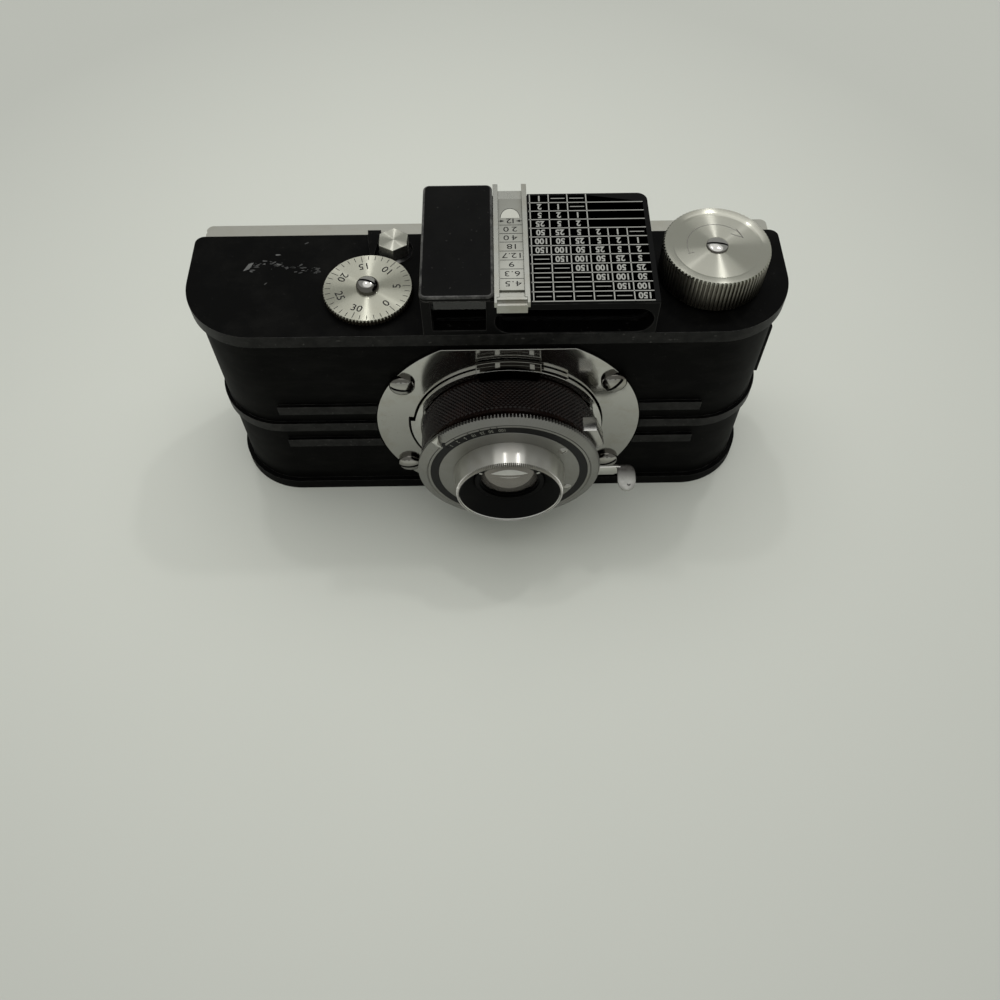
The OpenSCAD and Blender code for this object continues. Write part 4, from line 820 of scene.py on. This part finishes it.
def speed_ring():
    """The ring with teeth round its upper part, and its pointer with the shade beside it."""
    teeth = 170
    n = teeth * 4
    profile = [(19.15, 11.85), (20.5, 11.85), (21.3, 11.95), (21.35, 12.75), (20.85, 13.05),
               (19.42, 13.56), (19.36, 13.6), (19.28, 13.5), (19.15, 13.5)]
    deep = {1: 0.1, 2: 0.7, 3: 0.3}

    def toothed(i):
        return not 139.5 <= 360 * i / n <= 352

    def shape(i, k, r):
        return r - (deep.get(k, 0) if i % 4 in (0, 1) and toothed(i) else 0)
    obj = adopt(revolve("speed_ring_turned", profile, on_lens, n, shape), "speed_ring", mat="ring")
    # Painted shade: the gaps between the teeth take the dark finish.
    obj.data.materials.append(M["valley"])
    for p in obj.data.polygons:
        k, i = divmod(p.index, n)
        if 1 <= k <= 2 and i % 4 == 0 and toothed(i):
            p.material_index = 1
    bm = bmesh.new()

    def at(u, v, d):
        return bm.verts.new(on_lens((u, v, d)))
    tip, tip_lo = at(-15.15, 11.1, 13.75), at(-15.15, 11.1, 13.62)
    left, left_lo = at(-17.3, 13.3, 13.75), at(-17.1, 13.0, 13.0)
    peak, peak_lo = at(-15.9, 14.9, 13.75), at(-15.9, 14.7, 12.9)
    mid, mid_lo = at(-16.3, 11.6, 13.7), at(-16.3, 11.6, 13.5)
    crown = at(-16.2, 13.2, 14.15)
    rim = [tip, mid, left, peak]
    low = [tip_lo, mid_lo, left_lo, peak_lo]
    for i in range(4):
        j = (i + 1) % 4
        bm.faces.new((rim[i], rim[j], crown))
        bm.faces.new((low[i], low[j], rim[j], rim[i]))
    bm.faces.new(low)
    adopt(mesh_object("speed_pointer", bm, 20, 0.05, 1), body="speed_setting",
          mat="polish")
    shade = [(-15.3, 12.6), (-14.5, 12.9), (-14.1, 10.6), (-15.0, 11.1)]
    bm = bmesh.new()
    slab(bm, shade, 13.635, 13.66, on_lens)
    adopt(mesh_object("speed_pointer_shade", bm), body="speed_setting",
          mat="ink")


def lens_marks():
    """Ticks and numbers of the speed scale, on the black band."""
    bm = bmesh.new()
    for a in (141, 130.7, 119.4, 110.6, 103, 98.5):
        slab(bm, spoke(a, 18.3, 19.0, 0.17), 13.6, 13.63, on_lens)
    adopt(mesh_object("speed_ticks", bm), body="lens_unit", mat="ink")
    places = {"1": 138, "2": 131, "5": 124, "10": 117, "25": 110, "50": 103.5, "100": 95.5}
    items = [(text, *polar(17.5, a), a + 90) for text, a in places.items()]
    obj = figures("speed_figures", items, on_lens, 13.61, 1.05, 0.8)
    adopt(obj, body="lens_unit", mat="strip")


def barrel():
    """The bright barrel with fine teeth at its rim and a black cone inside."""
    teeth = 176
    n = teeth * 4
    outer = [(8.6, 13.72), (12.95, 13.72), (12.98, 14.3), (12.5, 18.3), (12.42, 18.8),
             (12.4, 18.95), (12.38, 19.35), (12.25, 19.5), (12.0, 19.58), (11.85, 19.4)]
    inner = [(11.7, 19.2), (8.3, 15.5), (8.15, 15.4), (6.7, 15.4), (6.7, 13.4), (8.6, 13.4)]
    rim_d, cone_r = 19.35, 11.75
    back_d, floor_d, hole_r = 13.3, 13.8, 8.0
    deep = {5: 0.3, 6: 0.42, 7: 0.42, 8: 0.2}

    def shape(i, k, r):
        return r - (deep.get(k, 0) if i % 4 in (0, 1) else 0)
    obj = revolve("lens_barrel_turned", outer + inner, on_lens, n, shape)
    me = obj.data
    for key in ("barrel", "cone", "valley", "polish"):
        me.materials.append(M[key])
    for p in me.polygons:
        k, i = divmod(p.index, n)
        # Painted shade in the gaps between the rim's teeth.
        if 4 <= k <= 7 and i % 4 == 0:
            p.material_index = 2
        elif k in (8, 9):
            p.material_index = 3
        c = p.center / MM
        r = math.hypot(c.x - LENS_X, c.z - LENS_Z)
        d = FRONT_Y - c.y
        if back_d < d < rim_d and r < cone_r and (d > floor_d or r < hole_r):
            p.material_index = 1
    adopt(obj, "lens_barrel")


def front_glass():
    """The dome of the front glass, which stands out through its retaining ring, with a painted
    highlight on it and bright bars in the ring's notches.
    """
    rim, sag, base = 7.05, 2.4, 14.4
    edge, thick = 7.38, 1.3
    ball = (rim * rim + sag * sag) / (2 * sag)
    steps = 24
    reach = math.asin(rim / ball)
    profile = [(0.02, base - thick), (edge, base - thick), (edge, base - 0.05), (rim, base)]
    for i in range(1, steps):
        t = reach * (1 - i / steps)
        profile.append((ball * math.sin(t), base + sag - ball + ball * math.cos(t)))
    profile.append((0.02, base + sag))
    adopt(revolve("front_lens_dome", profile, on_lens, 96), "front_lens", mat="front_glass")
    bm = bmesh.new()

    def at(u, v, lift):
        r = math.hypot(u, v)
        d = base + sag - ball + math.sqrt(ball * ball - r * r) + lift
        return bm.verts.new(on_lens((u, v, d)))
    # Painted highlight: a pale crescent and a thin line just above the dome, where it would mirror
    # the lamps.
    for low, high, wide, foot in ((0.45, 1.95, 4.35, 2.85), (-0.1, 0.06, 2.6, 2.6)):
        cols = []
        for i in range(33):
            t = -1 + i / 16
            bow = 1 - t * t
            cols.append([at(wide * t, foot + k * bow, 0.015)
                         for k in (low, (low + high) / 2, high)])
        for a, b in zip(cols, cols[1:]):
            for j in (0, 1):
                bm.faces.new((a[j], b[j], b[j + 1], a[j + 1]))
    bmesh.ops.remove_doubles(bm, verts=bm.verts, dist=1e-7)
    adopt(mesh_object("front_lens_glint", bm), body="lens_unit",
          mat="glint")
    # Bare metal in the ring's two notches, partly a painted highlight: the bars stand where the
    # lamps shine on the ring.
    bm = bmesh.new()
    for a in (29, 151):
        slab(bm, spoke(a, 7.2, 8.0, 0.5), 15.96, 16.03, on_lens)
    adopt(mesh_object("ring_notch_highlights", bm), body="lens_unit",
          mat="plate")


def release_lever():
    """A flat arm beside the housing, and a finger plate that dips and runs out to a round end; the
    plate is painted dark near the arm and pale at its end, a painted shade and reflection.
    """
    pad_u, half, thick = 27.85, 2.15, 0.5
    root_d, round_d, round_r = 11.1, 14.5, 2.36
    arm = [(14.0, -0.9), (19.0, -0.9), (25.4, -0.85), (27.5, -1.0), (27.8, -2.4), (26.4, -3.4),
           (25.0, -4.15), (19.0, -4.25), (14.0, -4.1)]
    bm = bmesh.new()
    slab(bm, arm, root_d, 11.75, on_lens)
    adopt(mesh_object("release_arm", bm, 30, 0.14), "release_lever", mat="plate")
    path = [(11.1, -0.85), (11.6, -0.9), (12.3, -1.1), (13.0, -1.4), (13.8, -1.75), (14.6, -2.1),
            (15.1, -2.3), (15.8, -2.6), (16.4, -2.85), (16.85, -3.0)]
    across = [-1, -0.97, -0.85, -0.5, 0, 0.5, 0.85, 0.97, 1]
    bm = bmesh.new()
    sheets = []
    for lift in (0.0, -thick):
        rows = []
        for d, v in path:
            over = min(1.0, max(0.0, (d - round_d) / round_r))
            wide = max(half * math.sqrt(1 - over * over), 0.35)
            trim = [1 - 0.5 * math.exp((root_d - d) / 0.7) if t > 0 else 1 for t in across]
            rows.append([bm.verts.new(on_lens((pad_u + wide * k * t, v + lift - 0.16 * t ** 6, d)))
                         for t, k in zip(across, trim)])
        sheets.append(rows)
    top, bottom = sheets
    last = len(path) - 1
    for i in range(last):
        for j in range(len(across) - 1):
            bm.faces.new((top[i][j], top[i][j + 1], top[i + 1][j + 1], top[i + 1][j]))
            bm.faces.new((bottom[i][j], bottom[i + 1][j], bottom[i + 1][j + 1], bottom[i][j + 1]))
        for j in (0, len(across) - 1):
            bm.faces.new((top[i][j], top[i + 1][j], bottom[i + 1][j], bottom[i][j]))
    for i in (0, last):
        for j in range(len(across) - 1):
            bm.faces.new((top[i][j], top[i][j + 1], bottom[i][j + 1], bottom[i][j]))
    adopt(mesh_object("release_pad", bm, 50, 0.08, 2), "release_lever", mat="pad")
    # Painted shade: a black ring stands for the shaded hole near the plate's end.
    eye = revolve("release_eye", [(0.2, -0.02), (0.42, -0.02), (0.42, 0.03), (0.2, 0.03)],
                  lambda p: on_lens((28.3 + p[0], -2.48 + p[2], 15.5 + p[1])), 20)
    adopt(eye, body="release", mat="ink")


speed_ring()
lens_marks()
barrel()
front_glass()
release_lever()


# ---------------------------------------------------------------- counter dial and knob

def counter_dial():
    """The frame counter's dial with a toothed edge, ticks and numbers."""
    teeth, thick, bright = 79, 2.0, 1.72
    deep = {2: 0.26, 3: 0.26, 4: 0.14}
    profile = [(1.0, 0.42), (9.5, 0.42), (9.82, 0.6), (9.82, 1.6), (9.7, 1.9), (9.55, thick),
               (1.0, thick)]

    def shape(i, k, r):
        return r - (deep.get(k, 0) if i % 4 in (0, 1) else 0)
    obj = adopt(revolve("counter_dial_turned", profile, upright(*DIAL, ROOF_Z), teeth * 4, shape,
                        angle=20), "counter_dial", mat="dial")
    # The dial's side below the height bright takes the darker metal.
    sided(obj, "edge_dark", lambda c: c.z < ROOF_Z + bright)
    top = upright(*DIAL, ROOF_Z + thick)
    tick_r, figure_r = 9.3, 6.3
    bm = bmesh.new()
    items = []
    for i in range(36):
        a = -48 + 10 * i
        numbered = i % 5 == 0 and i <= 30
        slab(bm, spoke(a, tick_r - (1.75 if numbered else 1.15), tick_r, 0.14), MARK_SINK,
             MARK_RISE, top)
        if numbered:
            items.append((str(i), *polar(figure_r, a), a + 90))
    adopt(mesh_object("dial_ticks", bm), body="counter", mat="ink")
    adopt(figures("dial_figures", items, top, 0.005, 1.8, 1.05, 0.015), body="counter",
          mat="ink")


def wind_knob():
    """The fluted winding knob, its top turned a little hollow, with the arrow engraved in it."""
    flutes, face, rim_z, flute_z, flute_r = 81, 8.4, 8.3, 8.2, 11.2
    deep = {2: 0.45, 3: 0.45, 4: 0.25}
    profile = [(1.4, 0.5), (11.2, 0.5), (11.55, 0.9), (11.55, 8.1), (11.4, 8.55), (11.2, 8.7),
               (9.85, 8.7), (9.72, 8.66), (9.45, 8.48), (9.3, face), (1.4, face)]

    def shape(i, k, r):
        return r - (deep.get(k, 0) if i % 6 in (0, 1, 2) else 0)
    obj = adopt(revolve("wind_knob_turned", profile, upright(*WIND, ROOF_Z), flutes * 6, shape,
                        angle=24), "wind_knob", mat="knob")
    # Painted shade on the flutes, darker towards the foot and in the valleys.
    sided(obj, "flute", lambda c: c.z < ROOF_Z + rim_z)
    sided(obj, "flute_valley", lambda c: c.z < ROOF_Z + flute_z and
          math.hypot(c.x - WIND[0], c.y - FRONT_Y - WIND[1]) < flute_r, over_all=True)
    top = upright(*WIND, ROOF_Z + face)
    bm = bmesh.new()
    slab(bm, arc_band(6.38, 6.5, 30, 198, 60), MARK_SINK, MARK_RISE, top)
    slab(bm, spoke(199, 5.4, 6.9, 0.14), MARK_SINK, MARK_RISE, top)
    tip = polar(6.3, 22)
    for r in (4.9, 6.9):
        end = polar(r, 46)
        dx, dy = end[0] - tip[0], end[1] - tip[1]
        k = 0.08 / math.hypot(dx, dy)
        barb = [(tip[0] + dy * k, tip[1] - dx * k), (end[0] + dy * k, end[1] - dx * k),
                (end[0] - dy * k, end[1] + dx * k), (tip[0] - dy * k, tip[1] + dx * k)]
        slab(bm, barb, MARK_SINK, MARK_RISE, top)
    adopt(mesh_object("knob_arrow", bm), body="winder", mat="knob_line")


counter_dial()
wind_knob()


# ---------------------------------------------------------------- exposure table and strip

def table_marks():
    """Lines and numbers of the exposure table; an empty cell has a dash."""
    cell_w, cell_h, line = 4.133, 2.633, 0.24
    xs = [9.5 + cell_w * i for i in range(7)]
    fs = [0.31 + cell_h * i for i in range(13)]
    low, high = TABLE_Z + MARK_SINK, TABLE_Z + 0.02
    bm = bmesh.new()
    for i, x in enumerate(xs[:6]):
        top = fs[8] if i in (4, 5) else 31.9
        slab(bm, rect(x - line / 2, fs[0], x + line / 2, top), low, high, roof)
    for f in fs[:12]:
        slab(bm, rect(9.1, f - line / 2, xs[6], f + line / 2), low, high, roof)
    seq = ["1", "2", "5", "25", "50", "100", "150"]
    items = []
    for c in range(6):
        for row in range(12):
            if c >= 3 and row < 4:  # the wide cells at the top stay plain
                continue
            k = row - c
            x = (xs[c] + xs[c + 1]) / 2
            f = fs[12 - row] - cell_h / 2
            if 0 <= k < len(seq):
                items.append((seq[k], x, f, 180))
            else:
                slab(bm, rect(x - 1.55, f - 0.1, x + 1.55, f + 0.1), low, high, roof)
    adopt(mesh_object("table_lines", bm), body="camera_body", mat="white")
    obj = figures("table_figures", items, roof, TABLE_Z + 0.01, 1.68, 0.84, 0.075)
    adopt(obj, body="camera_body", mat="white")


def slide_strip():
    """The strip that slides in the channel: a pale half disc, cells, arrows and numbers."""
    low, high = [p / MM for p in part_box("slide_strip")]
    f0, f1, z = low.y - FRONT_Y, high.y - FRONT_Y, high.z
    bm = bmesh.new()
    slab(bm, rect(low.x, f0, high.x, f1), low.z, z, roof)
    adopt(mesh_object("slide_strip_plate", bm, 30, 0.06), "slide_strip", mat="strip")
    mid, disc_f, disc_w, disc_h = 5.1, 24.0, 2.05, 2.85
    foot, face = z - 0.08, z + MARK_RISE
    arc = [(math.cos(math.pi * i / 24), math.sin(math.pi * i / 24)) for i in range(25)]
    bm = bmesh.new()
    slab(bm, [(mid + disc_w * c, disc_f + disc_h * q) for c, q in arc], z + MARK_SINK, face, roof)
    adopt(mesh_object("strip_notch", bm), body="calculator_strip",
          mat="strip_pale")
    rows = [21.85, 19.28, 16.74, 14.09, 11.48, 8.9, 6.21]
    bm = bmesh.new()
    for f in rows:
        slab(bm, rect(2.7, f - 0.07, 7.65, f + 0.07), foot, face, roof)
    slab(bm, [(mid + k * disc_w * c, disc_f + k * disc_h * q)
              for k, pts in ((1.0, arc), (1.06, arc[::-1])) for c, q in pts], foot, face, roof)
    for s in (-1, 1):
        x = mid + s * 1.75
        slab(bm, [(x + s * 0.4, 23.45), (x - s * 0.5, 23.08), (x + s * 0.4, 22.7)], foot, face,
             roof)
        slab(bm, rect(x + s * 0.35, 23.0, x + s * 0.8, 23.16), foot, face, roof)
    adopt(mesh_object("strip_lines", bm), body="calculator_strip", mat="ink")
    places = [(23.08, (("1", 0.62), ("2", -0.3))),
              (20.57, (("2", 0.88), ("0", -0.94))),
              (18.0, (("4", 0.84), ("0", -0.94))),
              (15.4, (("1", 0.94), ("8", -0.27))),
              (12.78, (("1", 1.89), ("2", 0.6), (".", -0.35), ("7", -1.36))),
              (10.2, (("9", 0.05),)),
              (7.55, (("6", 1.2), (".", 0.15), ("3", -0.94))),
              (4.75, (("4", 1.4), (".", 0.25), ("5", -0.84)))]
    items = [(t, mid + dx, f + (0.55 if t == "." else 0), 180)
             for f, row in places for t, dx in row]
    adopt(figures("strip_figures", items, roof, z + 0.005, 1.5, 1.3, 0.0),
          body="calculator_strip", mat="ink")


table_marks()
slide_strip()


# ---------------------------------------------------------------- floor, lamps and camera

def floor():
    """A pale floor with painted shade that makes it a little darker away from the object, as in the
    photograph.
    """
    n = Nodes("floor_pale", (0.68, 0.692, 0.634), 0.62, 0.0, Specular_IOR_Level=0.2)
    far = n.new("ShaderNodeVectorMath", operation="DISTANCE")
    n.link(n.tex.outputs["Object"], far.inputs[0])
    far.inputs[1].default_value = (-0.015, 0.03, 0)
    near_r, far_r = 0.08, 0.2
    tone = n.mix(n.ramp(n.noise(160, 4), 0.3, 0.75), (0.738, 0.75, 0.688), (0.711, 0.725, 0.665))
    # Painted shade: the floor darkens between near_r and far_r from the object's middle.
    n.base(n.mix(n.ramp(far.outputs["Value"], near_r, far_r), tone, (0.575, 0.585, 0.54)))
    n.bump(n.noise(1.6, 4), 0.25, 0.05)
    bm = bmesh.new()
    bmesh.ops.create_grid(bm, x_segments=2, y_segments=2, size=4)
    me = to_mesh("floor", bm)
    obj = bpy.data.objects.new("floor", me)
    scene.collection.objects.link(obj)
    me.materials.append(n.mat)


def lamp(name, place, size, power):
    """A round lamp that looks at the middle of the floor."""
    data = bpy.data.lights.new(name, "AREA")
    data.shape = "DISK"
    data.size = size
    data.energy = power
    obj = bpy.data.objects.new(name, data)
    scene.collection.objects.link(obj)
    obj.location = place
    obj.rotation_euler = (Vector() - Vector(place)).to_track_quat("-Z", "Y").to_euler()


def world():
    """Even light from all around."""
    w = bpy.data.worlds.new("studio")
    scene.world = w
    w.use_nodes = True
    bg = w.node_tree.nodes["Background"]
    bg.inputs["Color"].default_value = (0.98, 1.0, 0.96, 1)
    bg.inputs["Strength"].default_value = 0.5


def camera():
    """The photograph's view: its place, direction and lens as solved from the picture."""
    place, focal = (1.235, -138.995, 211.38), 33.48
    yaw, pitch, roll = math.radians(0.466), math.radians(59.02), math.radians(-0.40)
    look = Vector((math.sin(yaw) * math.cos(pitch), math.cos(yaw) * math.cos(pitch),
                   -math.sin(pitch)))
    r = Vector((math.cos(yaw), -math.sin(yaw), 0))
    u = r.cross(look)
    right = math.cos(roll) * r + math.sin(roll) * u
    up = -math.sin(roll) * r + math.cos(roll) * u
    data = bpy.data.cameras.new("camera")
    data.sensor_width = 36
    data.lens = focal
    data.clip_start = 0.01
    obj = bpy.data.objects.new("camera", data)
    scene.collection.objects.link(obj)
    m = Matrix((right, up, -look)).transposed().to_4x4()
    m.translation = Vector(place) * MM
    obj.matrix_world = m
    scene.camera = obj


floor()
world()
camera()
lamp("softbox", (0.0, 0.35, 1.7), 2.0, 10.1)
lamp("lamp_left", (-0.235, 0.6, 1.58), 0.1, 1.35)
lamp("lamp_right", (0.2, 0.24, 0.648), 0.04, 0.3)
scene.view_settings.view_transform = "Standard"
